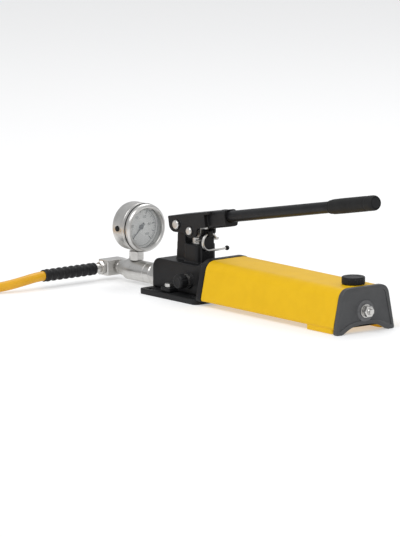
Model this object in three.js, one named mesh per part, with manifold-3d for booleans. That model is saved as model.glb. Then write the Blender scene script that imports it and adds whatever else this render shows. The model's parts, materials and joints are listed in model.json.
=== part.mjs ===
// A two-speed hydraulic hand pump: a moulded oil reservoir behind an aluminium head, a lever that
// drives a stepped plunger, a release valve, and a pressure gauge and hose on the outlet.
// Millimetres, +Z up. The origin is the middle of the base plate's underside. +X runs from the head
// to the back of the reservoir, where the user stands.

import * as THREE from "three";
import { mergeVertices } from "three/addons/utils/BufferGeometryUtils.js";
import Module from "manifold-3d";

const wasm = await Module();
wasm.setup();

// ---- driving dimensions -------------------------------------------------------------------------

const GAP = 0.3; // between two pieces that touch

const BASE = { front: -73, rear: 73, halfWidth: 60, thickness: 9, cornerRadius: 9 };
const SLOT = { x: 56, y: 48, width: 8, length: 18 };
const BASE_SCREW = { x: -15, y: 43, radius: 4 };

const TANK = {
  front: 86.1, rear: 421.9, bottom: 8, top: 73, bottomHalf: 59, topHalf: 45, wall: 4, corner: 16,
};
const TANK_FOOT = { front: 352, rear: 418, inner: 42, outer: 57, bottom: 1 };
const FLANGE = { front: 73 + GAP, thickness: 11.4, lip: 1 };
const GASKET = { thickness: 0.8 };
const END_CAP = { thickness: 9.7, lip: 1.5, archHalf: 47, archRise: 13 };
const TIE_ROD = { radius: 5, z: 35, front: 50, rear: 449 };
const SUCTION = { radius: 4, y: 18, z: 19, front: 60, rear: 380, strainerRadius: 6.4, strainerLength: 24 };
const FILLER = { x: 402, neckRadius: 14, holeRadius: 10, neckTop: 80.5, capRadius: 19, capTop: 87 };

const HEAD = { front: -70, rear: 73, halfWidth: 33, top: 58 };
const TOWER = { front: -6.6, rear: 30, halfWidth: 20, top: 88 };
const REAR_WALL = { front: 24.6, rear: 33, halfWidth: 13, top: 103 };

// The lever turns about the fulcrum pin. Its crosshead pin pushes the plunger, and swings as far
// behind the level of the fulcrum as before it, so that the pin stays nearly above the bore.
const HANDLE_REST = THREE.MathUtils.degToRad(11);
const HANDLE_HALF_SWING = THREE.MathUtils.degToRad(22);
const CRANK = 34;
const FULCRUM = { x: -21.4, z: 116.5, pinRadius: 5, lugRadius: 10, lugHalf: 12 };
const CROSSHEAD = { pinRadius: 4.5, slotPlay: 0.3 };
const CROSSHEAD_X = CRANK * Math.cos(HANDLE_HALF_SWING); // in the lever's own frame
const CROSSHEAD_Z = -CRANK * Math.sin(HANDLE_HALF_SWING);
const PLUNGER_X = FULCRUM.x + (CRANK + CROSSHEAD_X) / 2;
const PIN_REST_Z = FULCRUM.z - CRANK * Math.sin(HANDLE_REST);

const PLUNGER = {
  lowRadius: 11.85, highRadius: 5.5, shoulder: 55.5, bottom: 22, eyeHalfX: 11.5, eyeHalfY: 8,
};
const BORE = { low: 11.95, high: 5.6, lowBottom: 48, highBottom: 14 };
const GLAND = { outer: 15, inner: 12.2, bottom: 79, seat: 73.7 };

const BEAM = { cheekInner: 16, cheekOuter: 21, top: 15.6, hoodThickness: 4.5, front: -22, hoodRear: 86 };
const SOCKET = { front: 67, rear: 116, halfWidth: 13.5, bottom: -12.5 };
const TUBE = { z: 3.8, radius: 9.5, inner: 8.1, front: 74.5, rear: 484 };
const GRIP = { radius: 12.5, front: 374, rear: 489 };
const STOP_PIN = { x: 28.8, z: 96, radius: 2.5, halfLength: 24 };

const LOCK = { x: 36.5, z: 107, ringRadius: 14, wireRadius: 2.1, legEnd: 33, ballRadius: 4 };

const RELEASE = { x: 24, z: 32 };
const OUTLET_Z = 21;
const ADAPTER = {
  front: -86.5, gaugeX: -153.5, shoulder: -172, rear: -188, radius: 17.5, endRadius: 13, bore: 4,
};
const GAUGE = { z: 94, radius: 40, back: -19, front: 18 };
const ELBOW = { x: -206, half: 12.5, outlet: 28.5 };

const HOSE = { radius: 8, start: -46.6 };
const RESTRICTOR = { length: 107, ribs: 8, crest: 10.4, root: 9.3, bore: 8.7 };
const COIL = { x: -430, y: -217.4, outer: 105.6, pitch: 16, top: 32.8 };
const TAIL = { x: -430 - 105.6, y: -152, z: 14.4 };

// ---- finishes -----------------------------------------------------------------------------------

const YELLOW = { color: 0xe8a91b, roughness: 0.42, metalness: 0 };
const HOSE_YELLOW = { color: 0xc9922c, roughness: 0.5, metalness: 0 };
const BLACK_PAINT = { color: 0x1b1b1c, roughness: 0.5, metalness: 0.1 };
const BLACK_PLASTIC = { color: 0x141414, roughness: 0.6, metalness: 0 };
const GREY_PLASTIC = { color: 0x4a4b4d, roughness: 0.55, metalness: 0 };
const RUBBER = { color: 0x111111, roughness: 0.85, metalness: 0 };
const STEEL = { color: 0xb4b3b0, roughness: 0.35, metalness: 0.9 };
const DARK_STEEL = { color: 0x3a3a3a, roughness: 0.4, metalness: 0.8 };
const DIAL_WHITE = { color: 0xf2f0ea, roughness: 0.6, metalness: 0 };
const GLASS = { color: 0xdfe8ea, roughness: 0.05, metalness: 0 };

// ---- solids -------------------------------------------------------------------------------------

/** A closed three.js geometry as a solid, with its faces pointing out. */
function solid(geometry) {
  const bare = geometry.clone();
  bare.deleteAttribute("normal");
  bare.deleteAttribute("uv");
  const merged = mergeVertices(bare, 1e-4);
  const place = merged.attributes.position;
  const corners = Array.from(merged.index.array);
  const triangles = [];
  let volume = 0;
  for (let i = 0; i < corners.length; i += 3) {
    const [a, b, c] = corners.slice(i, i + 3);
    if (a === b || b === c || c === a) continue;
    triangles.push([a, b, c]);
    const [p, q, r] = [a, b, c].map((k) => new THREE.Vector3().fromBufferAttribute(place, k));
    volume += p.dot(q.cross(r));
  }
  if (volume < 0) triangles.forEach((t) => t.reverse());
  return new wasm.Manifold(
    new wasm.Mesh({
      numProp: 3,
      vertProperties: new Float32Array(place.array),
      triVerts: new Uint32Array(triangles.flat()),
    }),
  );
}

/** The first solid joined with the others. */
function join(...parts) {
  return parts.reduce((whole, part) => whole.add(part));
}

/** The first solid with the others cut away. */
function cut(whole, ...tools) {
  return tools.reduce((left, tool) => left.subtract(tool), whole);
}

/** Turns a geometry that was made along +Z so that it runs along another axis. */
function pointed(geometry, axis) {
  const turns = {
    "+x": () => geometry.rotateY(Math.PI / 2),
    "-x": () => geometry.rotateY(-Math.PI / 2),
    "+y": () => geometry.rotateX(-Math.PI / 2),
    "-y": () => geometry.rotateX(Math.PI / 2),
    "+z": () => geometry,
  };
  return turns[axis]();
}

/** A turned solid: profile holds [radius, height along the axis], and at is where height 0 lies. */
function turned(profile, axis, at, segments = 16) {
  const points = profile.map(([radius, height]) => new THREE.Vector2(radius, height));
  const body = new THREE.LatheGeometry(points, segments);
  body.rotateX(Math.PI / 2);
  return solid(pointed(body, axis).translate(...at));
}

function rod(radius, length, axis, at, segments = 16) {
  return turned([[0, 0], [radius, 0], [radius, length], [0, length]], axis, at, segments);
}

function ring(outer, inner, length, axis, at, segments = 16) {
  const profile = [[inner, 0], [outer, 0], [outer, length], [inner, length], [inner, 0]];
  return turned(profile, axis, at, segments);
}

function hexagon(acrossFlats, length, axis, at) {
  return rod(acrossFlats / 2 / Math.cos(Math.PI / 6), length, axis, at, 6);
}

function ball(radius, at) {
  return solid(new THREE.SphereGeometry(radius, 12, 8).translate(...at));
}

function block([x0, x1], [y0, y1], [z0, z1]) {
  const body = new THREE.BoxGeometry(x1 - x0, y1 - y0, z1 - z0);
  return solid(body.translate((x0 + x1) / 2, (y0 + y1) / 2, (z0 + z1) / 2));
}

/** A closed outline through corners of [across, up, radius]. No rounding goes past half an edge. */
function outline(corners, path = new THREE.Shape()) {
  corners.forEach(([across, up, radius = 0], i) => {
    const corner = new THREE.Vector2(across, up);
    const [before, after] = [i - 1, i + 1].map((k) => {
      const [x, y] = corners[(k + corners.length) % corners.length];
      const edge = new THREE.Vector2(x, y).sub(corner);
      return edge.setLength(Math.min(radius, 0.48 * edge.length())).add(corner);
    });
    if (i === 0) path.moveTo(before.x, before.y);
    else path.lineTo(before.x, before.y);
    if (radius > 0) path.quadraticCurveTo(corner.x, corner.y, after.x, after.y);
  });
  path.closePath();
  return path;
}

function box2d([x0, x1], [y0, y1], radius) {
  return outline([[x0, y0, radius], [x1, y0, radius], [x1, y1, radius], [x0, y1, radius]]);
}

// The directions that a shape's own across, up and depth take in each plane.
const PLANES = {
  xy: [[1, 0, 0], [0, 1, 0], [0, 0, 1]],
  yz: [[0, 1, 0], [0, 0, 1], [1, 0, 0]],
  xz: [[1, 0, 0], [0, 0, 1], [0, -1, 0]],
};

/** A shape in a plane, extruded from low to high along the plane's normal axis. */
function slab(shape, plane, [low, high], curveSegments = 4) {
  const body = new THREE.ExtrudeGeometry(shape, { depth: high - low, bevelEnabled: false, curveSegments });
  const directions = PLANES[plane].map((v) => new THREE.Vector3(...v));
  body.applyMatrix4(new THREE.Matrix4().makeBasis(...directions));
  const shift = { xy: [0, 0, low], yz: [low, 0, 0], xz: [0, high, 0] };
  return solid(body.translate(...shift[plane]));
}

/** A round bar that follows points. */
function swept(points, radius, sides, steps) {
  const section = new THREE.Shape();
  for (let i = 0; i < sides; i += 1) {
    const angle = (2 * Math.PI * i) / sides;
    const place = [radius * Math.cos(angle), radius * Math.sin(angle)];
    if (i === 0) section.moveTo(...place);
    else section.lineTo(...place);
  }
  const route = new THREE.CatmullRomCurve3(points.map((p) => new THREE.Vector3(...p)), false, "centripetal");
  return solid(new THREE.ExtrudeGeometry(section, { steps, extrudePath: route, bevelEnabled: false }));
}

// ---- the assembly -------------------------------------------------------------------------------

const pump = new THREE.Group();

function piece(group, name, body, finish) {
  const { vertProperties, triVerts } = body.getMesh();
  const geometry = new THREE.BufferGeometry();
  geometry.setAttribute("position", new THREE.BufferAttribute(new Float32Array(vertProperties), 3));
  geometry.setIndex(new THREE.BufferAttribute(new Uint32Array(triVerts), 1));
  geometry.computeVertexNormals();
  const mesh = new THREE.Mesh(geometry, new THREE.MeshStandardMaterial(finish));
  mesh.name = name;
  group.add(mesh);
}

function subassembly(x, y, z) {
  const group = new THREE.Group();
  group.position.set(x, y, z);
  pump.add(group);
  return group;
}

// ---- base plate and its screws ------------------------------------------------------------------

function addBase() {
  const group = subassembly(0, 0, 0);
  const plan = box2d([BASE.front, BASE.rear], [-BASE.halfWidth, BASE.halfWidth], BASE.cornerRadius);
  const slots = [-1, 1].flatMap((sx) => [-1, 1].map((sy) => {
    const [x, y] = [sx * SLOT.x, sy * SLOT.y];
    const [halfLength, halfWidth] = [SLOT.length / 2, SLOT.width / 2];
    const hole = box2d([x - halfLength, x + halfLength], [y - halfWidth, y + halfWidth], halfWidth);
    return slab(hole, "xy", [-1, BASE.thickness + 1], 4);
  }));
  const screwHoles = [-1, 1].map((side) => (
    rod(BASE_SCREW.radius + 0.3, 12, "+z", [BASE_SCREW.x, side * BASE_SCREW.y, -1], 16)
  ));
  const plate = cut(slab(plan, "xy", [0, BASE.thickness]), ...slots, ...screwHoles);
  piece(group, "base_plate", plate, BLACK_PLASTIC);
  for (const [name, side] of [["base_screw_left", -1], ["base_screw_right", 1]]) {
    const at = [BASE_SCREW.x, side * BASE_SCREW.y, 2];
    const shank = rod(BASE_SCREW.radius, 16, "+z", at, 16);
    const head = hexagon(13, 5.5, "+z", [at[0], at[1], 17 + GAP]);
    piece(group, name, join(shank, head), STEEL);
  }
}

// ---- head ---------------------------------------------------------------------------------------

function headCasting() {
  const side = outline([
    [HEAD.front, BASE.thickness + GAP, 2], [HEAD.rear, BASE.thickness + GAP], [HEAD.rear, 66],
    [58, 66, 4], [46, HEAD.top, 6], [-60, HEAD.top, 6], [HEAD.front, 48, 6],
  ]);
  const pad = outline([[-46, 12, 4], [46, 12, 4], [37, 68, 10], [-37, 68, 10]]);
  const tower = box2d([TOWER.front, TOWER.rear], [-TOWER.halfWidth, TOWER.halfWidth], 7);
  const lug = outline([
    [-35, 50], [FULCRUM.x - FULCRUM.lugRadius, 100, 4],
    [FULCRUM.x - FULCRUM.lugRadius, FULCRUM.z + 9.6, 9.8],
    [FULCRUM.x + FULCRUM.lugRadius, FULCRUM.z + 9.6, 9.8],
    [FULCRUM.x + FULCRUM.lugRadius, 88, 3], [-4, 82], [-4, 50],
  ]);
  const tabs = [-1, 1].map((way) => slab(
    box2d([-27, -3], way < 0 ? [-53, -30] : [30, 53], 5), "xy", [BASE.thickness + GAP, 17],
  ));
  const body = join(
    slab(side, "xz", [-HEAD.halfWidth, HEAD.halfWidth]),
    slab(pad, "yz", [61, HEAD.rear]),
    slab(tower, "xy", [50, TOWER.top]),
    slab(lug, "xz", [-FULCRUM.lugHalf, FULCRUM.lugHalf]),
    block([28, REAR_WALL.rear], [-REAR_WALL.halfWidth, REAR_WALL.halfWidth], [57, REAR_WALL.top]),
    block([REAR_WALL.front, REAR_WALL.rear], [-REAR_WALL.halfWidth, REAR_WALL.halfWidth], [84, REAR_WALL.top]),
    slab(box2d([REAR_WALL.front, 41], [101, 113], 3.5), "xz", [-4.5, 4.5]),
    rod(13, 4, "-y", [RELEASE.x, -HEAD.halfWidth + 1, RELEASE.z]),
    ...tabs,
  );
  const across = (radius, x, z, [y0, y1], segments = 14) => rod(radius, y1 - y0, "+y", [x, y0, z], segments);
  return cut(
    body,
    rod(BORE.high, 40, "+z", [PLUNGER_X, 0, BORE.highBottom], 20),
    rod(BORE.low, 50, "+z", [PLUNGER_X, 0, BORE.lowBottom], 20),
    rod(GLAND.outer - 0.5, 5, "+z", [PLUNGER_X, 0, GLAND.seat], 20),
    rod(GLAND.outer + 0.3, 20, "+z", [PLUNGER_X, 0, GLAND.bottom - GAP], 20),
    rod(TIE_ROD.radius + 0.3, 40, "+x", [TIE_ROD.front - 2, 0, TIE_ROD.z], 16),
    rod(SUCTION.radius + 0.3, 80, "+x", [13, SUCTION.y, SUCTION.z], 16),
    across(2, 15, SUCTION.z, [0, SUCTION.y], 8),
    rod(2.5, 80, "-x", [8, 0, OUTLET_Z], 8),
    rod(4.6, 50, "-x", [-28, 0, OUTLET_Z], 16),
    rod(9, 25, "-x", [-52, 0, OUTLET_Z]),
    across(4.3, RELEASE.x, RELEASE.z, [-40, -8], 16),
    across(6.4, 45, 28, [15, 40], 16),
    across(FULCRUM.pinRadius + 0.2, FULCRUM.x, FULCRUM.z, [-20, 20], 32),
    across(STOP_PIN.radius + 0.2, STOP_PIN.x, STOP_PIN.z, [-20, 20], 12),
    across(LOCK.wireRadius + 1, LOCK.x, LOCK.z, [-10, 10], 16),
    ...[-1, 1].map((way) => rod(BASE_SCREW.radius + 0.3, 20, "+z", [BASE_SCREW.x, way * BASE_SCREW.y, 5], 16)),
  );
}

/** A compression spring, its turns along +X from the origin. */
function spring(radius, wire, length, turns) {
  const points = [];
  for (let i = 0; i <= turns * 8; i += 1) {
    const angle = (2 * Math.PI * i) / 8;
    points.push([(length * i) / (turns * 8), radius * Math.cos(angle), radius * Math.sin(angle)]);
  }
  return swept(points, wire, 4, turns * 8);
}

function addHead() {
  const group = subassembly(0, 0, 0);
  piece(group, "head_casting", headCasting(), BLACK_PAINT);
  const glandTop = TOWER.top + GAP;
  const spannerHoles = [-1, 1].map((way) => rod(1.1, 6, "+z", [PLUNGER_X, way * 13.6, glandTop - 4], 8));
  const glandLength = glandTop - GLAND.bottom;
  const gland = ring(GLAND.outer, GLAND.inner, glandLength, "+z", [PLUNGER_X, 0, GLAND.bottom], 20);
  piece(group, "gland_nut", cut(gland, ...spannerHoles), DARK_STEEL);
  piece(group, "wiper_seal", ring(14.2, 12.05, 4.4, "+z", [PLUNGER_X, 0, GLAND.seat + GAP], 20), RUBBER);

  const fulcrum = [FULCRUM.x, -26, FULCRUM.z];
  const shank = rod(FULCRUM.pinRadius, 52, "+y", fulcrum, 32);
  const head = rod(7.5, 4, "-y", [FULCRUM.x, -21.6, FULCRUM.z], 20);
  piece(group, "fulcrum_pin", join(shank, head), STEEL);
  const clip = ring(8, 5 + GAP, 1.4, "+y", [FULCRUM.x, 22, FULCRUM.z], 20);
  piece(group, "fulcrum_pin_clip", cut(clip, block([-30, -22.5], [20, 26], [114.5, 118.5])), STEEL);
  const stop = [STOP_PIN.x, -STOP_PIN.halfLength, STOP_PIN.z];
  piece(group, "handle_stop_pin", rod(STOP_PIN.radius, 2 * STOP_PIN.halfLength, "+y", stop, 16), STEEL);

  const relief = { x: 45, z: 28 };
  const plug = join(
    rod(6.1, 15, "+y", [relief.x, 19, relief.z], 16),
    rod(8.5, 3, "+y", [relief.x, HEAD.halfWidth + GAP, relief.z], 20),
  );
  piece(group, "relief_valve_plug", cut(plug, hexagon(6, 6, "+y", [relief.x, 32, relief.z])), STEEL);
  piece(group, "inlet_check_ball", ball(3.6, [24, SUCTION.y, SUCTION.z]), STEEL);
  piece(group, "outlet_check_ball", ball(3.9, [-33, 0, OUTLET_Z]), STEEL);
  const springs = subassembly(-38, 0, OUTLET_Z);
  springs.rotation.y = Math.PI;
  piece(springs, "outlet_check_spring", spring(3.2, 0.5, 11, 4), STEEL);

  const nut = hexagon(19, 6, "-y", [RELEASE.x, -36 - GAP, RELEASE.z]);
  piece(group, "release_packing_nut", cut(nut, rod(4.3, 20, "-y", [RELEASE.x, -30, RELEASE.z], 16)), STEEL);
}

// ---- release valve: stem and knob, which turn together ------------------------------------------

function addReleaseValve() {
  const group = subassembly(RELEASE.x, -43, RELEASE.z);
  const profile = [[0, -30], [1.5, -30], [4, -25], [4, 13], [0, 13]];
  piece(group, "release_stem", turned(profile, "-y", [0, 0, 0], 16), STEEL);
  const knob = turned([[0, 0], [10.5, 0], [12, 1.5], [12, 13], [10, 15.5], [0, 15.5]], "-y", [0, 0, 0], 24);
  const flutes = Array.from({ length: 8 }, (_, i) => {
    const angle = (2 * Math.PI * (i + 0.5)) / 8;
    return rod(2.2, 20, "-y", [13.2 * Math.cos(angle), 1, 13.2 * Math.sin(angle)], 8);
  });
  piece(group, "release_knob", cut(knob, ...flutes, rod(4.3, 14.6, "-y", [0, 1, 0], 16)), BLACK_PLASTIC);
}

// ---- reservoir, its ends and what it holds ------------------------------------------------------

/** The reservoir's section in the YZ plane, moved inwards all round by inset. */
function tankSection(inset, bottom = TANK.bottom, path) {
  const lean = (TANK.bottomHalf - TANK.topHalf) / (TANK.top - TANK.bottom);
  const sideways = inset * Math.hypot(1, lean);
  const halfAt = (z) => TANK.bottomHalf - lean * (z - TANK.bottom) - sideways;
  const [low, high] = [bottom + inset, TANK.top - inset];
  const top = TANK.corner - inset;
  return outline([
    [-halfAt(low), low, 6], [halfAt(low), low, 6], [halfAt(high), high, top], [-halfAt(high), high, top],
  ], path);
}

function addReservoir() {
  const group = subassembly(0, 0, 0);
  const flangeEnds = [FLANGE.front, FLANGE.front + FLANGE.thickness];
  const flange = cut(
    slab(tankSection(-FLANGE.lip), "yz", flangeEnds),
    rod(TIE_ROD.radius + 0.4, 20, "+x", [70, 0, TIE_ROD.z], 16),
    rod(SUCTION.radius + 0.4, 20, "+x", [70, SUCTION.y, SUCTION.z], 16),
  );
  piece(group, "front_flange", flange, BLACK_PAINT);

  const rim = tankSection(0.6);
  rim.holes.push(tankSection(TANK.wall, TANK.bottom, new THREE.Path()));
  const frontGasket = flangeEnds[1] + GAP;
  const rearGasket = TANK.rear + GAP;
  piece(group, "front_gasket", slab(rim, "yz", [frontGasket, frontGasket + GASKET.thickness]), RUBBER);
  piece(group, "rear_gasket", slab(rim, "yz", [rearGasket, rearGasket + GASKET.thickness]), RUBBER);

  const shell = slab(tankSection(0), "yz", [TANK.front, TANK.rear]);
  const feet = [-1, 1].map((way) => {
    const across = way < 0 ? [-TANK_FOOT.outer, -TANK_FOOT.inner] : [TANK_FOOT.inner, TANK_FOOT.outer];
    return slab(box2d([TANK_FOOT.front, TANK_FOOT.rear], across, 5), "xy", [TANK_FOOT.bottom, TANK.bottom + 1]);
  });
  const neck = rod(FILLER.neckRadius, FILLER.neckTop - 70, "+z", [FILLER.x, 0, 70], 20);
  const reservoir = cut(
    join(shell, neck, ...feet),
    slab(tankSection(TANK.wall), "yz", [TANK.front - 1, TANK.rear + 1]),
    rod(FILLER.holeRadius, 40, "+z", [FILLER.x, 0, 60], 20),
  );
  piece(group, "reservoir", reservoir, YELLOW);

  const capFront = rearGasket + GASKET.thickness + GAP;
  const capEnds = [capFront, capFront + END_CAP.thickness];
  const capTop = TANK.top + END_CAP.lip;
  const capHalf = TANK.topHalf + END_CAP.lip;
  const capOutline = outline([
    [-61, 0, 5], [-END_CAP.archHalf, 0, 2], [-END_CAP.archHalf / 2, END_CAP.archRise, 22],
    [END_CAP.archHalf / 2, END_CAP.archRise, 22], [END_CAP.archHalf, 0, 2], [61, 0, 5],
    [capHalf, capTop, TANK.corner], [-capHalf, capTop, TANK.corner],
  ]);
  const tieRodHole = rod(TIE_ROD.radius + 0.4, 30, "+x", [410, 0, TIE_ROD.z], 16);
  piece(group, "end_cap", cut(slab(capOutline, "yz", capEnds), tieRodHole), GREY_PLASTIC);

  const washerAt = capEnds[1] + GAP;
  const nutAt = washerAt + 2 + GAP;
  const nutHole = rod(TIE_ROD.radius + GAP, 20, "+x", [nutAt - 5, 0, TIE_ROD.z], 16);
  const tieRod = rod(TIE_ROD.radius, TIE_ROD.rear - TIE_ROD.front, "+x", [TIE_ROD.front, 0, TIE_ROD.z], 16);
  piece(group, "tie_rod", tieRod, STEEL);
  piece(group, "tie_rod_washer", ring(11, TIE_ROD.radius + GAP, 2, "+x", [washerAt, 0, TIE_ROD.z]), STEEL);
  piece(group, "tie_rod_nut", cut(hexagon(17, 8, "+x", [nutAt, 0, TIE_ROD.z]), nutHole), STEEL);

  const suctionLength = SUCTION.rear - SUCTION.front;
  const tube = ring(SUCTION.radius, 2.8, suctionLength, "+x", [SUCTION.front, SUCTION.y, SUCTION.z], 16);
  piece(group, "suction_tube", tube, STEEL);
  const r = SUCTION.strainerRadius;
  const end = SUCTION.strainerLength;
  const strainer = turned(
    [[0, 0], [r - 1, 0], [r, 1], [r, end - 1], [r - 1, end], [0, end]],
    "+x", [SUCTION.rear + GAP, SUCTION.y, SUCTION.z],
  );
  piece(group, "suction_strainer", strainer, STEEL);
}

function addFillerCap() {
  const group = subassembly(FILLER.x, 0, 0);
  const gasketTop = FILLER.neckTop + GAP + GASKET.thickness;
  const gasket = ring(13.7, 10.3, GASKET.thickness, "+z", [0, 0, FILLER.neckTop + GAP], 20);
  piece(group, "filler_cap_gasket", gasket, RUBBER);
  const [bottom, roof] = [75, gasketTop + GAP];
  const profile = [
    [0, roof], [14.5, roof], [14.5, bottom],
    [FILLER.capRadius - 0.8, bottom], [FILLER.capRadius, bottom + 0.8],
    [FILLER.capRadius, FILLER.capTop - 1.5], [FILLER.capRadius - 1.5, FILLER.capTop], [0, FILLER.capTop],
  ];
  piece(group, "filler_cap", turned(profile, "+z", [0, 0, 0], 20), BLACK_PLASTIC);
}

// ---- plunger ------------------------------------------------------------------------------------

function addPlunger() {
  const group = subassembly(PLUNGER_X, 0, 0);
  const { lowRadius, highRadius, shoulder, bottom, eyeHalfX, eyeHalfY } = PLUNGER;
  const stem = turned([
    [0, bottom], [highRadius - 0.8, bottom], [highRadius, bottom + 0.8], [highRadius, shoulder],
    [lowRadius, shoulder], [lowRadius, 59], [9.8, 59], [9.8, 63], [lowRadius, 63], [lowRadius, 99], [0, 99],
  ], "+z", [0, 0, 0], 20);
  const slotHalfHeight = CROSSHEAD.pinRadius + CROSSHEAD.slotPlay;
  const slotHalfLength = (CRANK - CROSSHEAD_X) / 2 + slotHalfHeight;
  const eye = box2d([-eyeHalfX, eyeHalfX], [97, PIN_REST_Z + 9.5], 5);
  const slot = box2d(
    [-slotHalfLength, slotHalfLength],
    [PIN_REST_Z - slotHalfHeight, PIN_REST_Z + slotHalfHeight],
    slotHalfHeight,
  );
  const head = cut(slab(eye, "xz", [-eyeHalfY, eyeHalfY]), slab(slot, "xz", [-20, 20], 10));
  piece(group, "plunger", join(stem, head), STEEL);
  piece(group, "plunger_seal", ring(11.8, 10.1, 3.4, "+z", [0, 0, 59 + GAP], 20), RUBBER);
}

// ---- lever, in its own frame: the origin is the fulcrum and +X runs along the handle ------------

function beam() {
  const cheek = outline([
    [BEAM.front, BEAM.top, 2], [72, BEAM.top], [72, -10, 3], [54, -9, 6], [47, -13, 4], [46.5, -21, 5],
    [37, -24.5, 7], [26, -24.5, 7], [17, -16, 8], [8, -12.5, 8], [-12, -12.5, 10], [BEAM.front, -4, 6],
  ]);
  const hood = box2d([BEAM.front, BEAM.hoodRear], [-BEAM.cheekOuter, BEAM.cheekOuter], 3);
  const socket = box2d([-SOCKET.halfWidth, SOCKET.halfWidth], [SOCKET.bottom, BEAM.top], 7);
  const solidBeam = join(
    slab(cheek, "xz", [BEAM.cheekInner, BEAM.cheekOuter]),
    slab(cheek, "xz", [-BEAM.cheekOuter, -BEAM.cheekInner]),
    slab(hood, "xy", [BEAM.top - BEAM.hoodThickness, BEAM.top]),
    slab(socket, "yz", [SOCKET.front, SOCKET.rear]),
    block([SOCKET.front, 72], [-BEAM.cheekOuter + 1, BEAM.cheekOuter - 1], [-9, BEAM.top - 1]),
  );
  return cut(
    solidBeam,
    rod(TUBE.radius + 0.25, 60, "+x", [TUBE.front - GAP, 0, TUBE.z], 24),
    rod(FULCRUM.pinRadius + 0.06, 60, "+y", [0, -30, 0], 32),
    rod(CROSSHEAD.pinRadius + 0.2, 60, "+y", [CROSSHEAD_X, -30, CROSSHEAD_Z], 24),
    rod(4.2, 12, "+z", [100, 0, TUBE.z + 4], 16),
  );
}

function addLever() {
  const group = subassembly(FULCRUM.x, 0, FULCRUM.z);
  group.rotation.y = -HANDLE_REST;
  piece(group, "handle_beam", beam(), BLACK_PAINT);
  const tubeLength = TUBE.rear - TUBE.front;
  const tube = ring(TUBE.radius, TUBE.inner, tubeLength, "+x", [TUBE.front, 0, TUBE.z]);
  piece(group, "handle_tube", tube, BLACK_PAINT);
  const { radius, front, rear } = GRIP;
  const bore = TUBE.radius + 0.25;
  const grip = [
    [bore, front], [radius - 2, front], [radius, front + 3], [radius, rear - 5], [radius - 0.7, rear - 1.5],
    [radius - 2, rear], [bore, rear], [bore, front],
  ];
  piece(group, "handle_grip", turned(grip, "+x", [0, 0, TUBE.z]), RUBBER);
  const plug = [[0, 0], [9.5, 0], [9.5, 4], [8, 5], [0, 5.4]];
  piece(group, "grip_end_plug", turned(plug, "+x", [TUBE.rear + 0.4, 0, TUBE.z]), BLACK_PLASTIC);
  const screw = [100, 0, TUBE.z + TUBE.radius + GAP];
  const setScrew = cut(rod(3.9, 2.8, "+z", screw, 16), hexagon(4, 3, "+z", [screw[0], 0, screw[2] + 1]));
  piece(group, "handle_set_screw", setScrew, DARK_STEEL);

  const shank = rod(CROSSHEAD.pinRadius, 50, "+y", [CROSSHEAD_X, -25, CROSSHEAD_Z]);
  const headProfile = [[0, 0], [7, 0], [7, 2.5], [5, 4.5], [0, 4.5]];
  const head = turned(headProfile, "-y", [CROSSHEAD_X, -21.4, CROSSHEAD_Z], 20);
  piece(group, "crosshead_pin", join(shank, head), STEEL);
  const clip = ring(7.6, CROSSHEAD.pinRadius + GAP, 1.4, "+y", [CROSSHEAD_X, 22, CROSSHEAD_Z], 20);
  const mouth = block([CROSSHEAD_X - 10, CROSSHEAD_X - 1], [20, 26], [CROSSHEAD_Z - 2, CROSSHEAD_Z + 2]);
  piece(group, "crosshead_pin_clip", cut(clip, mouth), STEEL);
}

// ---- lock ring: an open wire ring that hangs in an eye behind the tower -------------------------

function addLockRing() {
  const group = subassembly(LOCK.x, 0, LOCK.z);
  const around = (degrees) => {
    const angle = THREE.MathUtils.degToRad(degrees);
    return [0, LOCK.ringRadius * Math.cos(angle), LOCK.ringRadius * (Math.sin(angle) - 1)];
  };
  const turn = [20, 45, 68, 90, 112, 135, 160, 180, 200, 225, 250, 270].map(around);
  const bottom = -2 * LOCK.ringRadius;
  const leg = [[0, 8, bottom], [0, 18, bottom], [0, LOCK.legEnd, bottom + 0.5]];
  piece(group, "lock_ring", swept([...turn, ...leg], LOCK.wireRadius, 8, 32), STEEL);
  const knobAt = [0, LOCK.legEnd + GAP + 3.4, bottom + 0.5];
  const knob = cut(
    ball(LOCK.ballRadius, knobAt),
    block([-6, 6], [LOCK.legEnd - 8, LOCK.legEnd + GAP], [bottom - 5, bottom + 6]),
  );
  piece(group, "lock_ring_knob", knob, BLACK_PLASTIC);
}

// ---- outlet: fitting, gauge adapter and elbow ---------------------------------------------------

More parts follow.
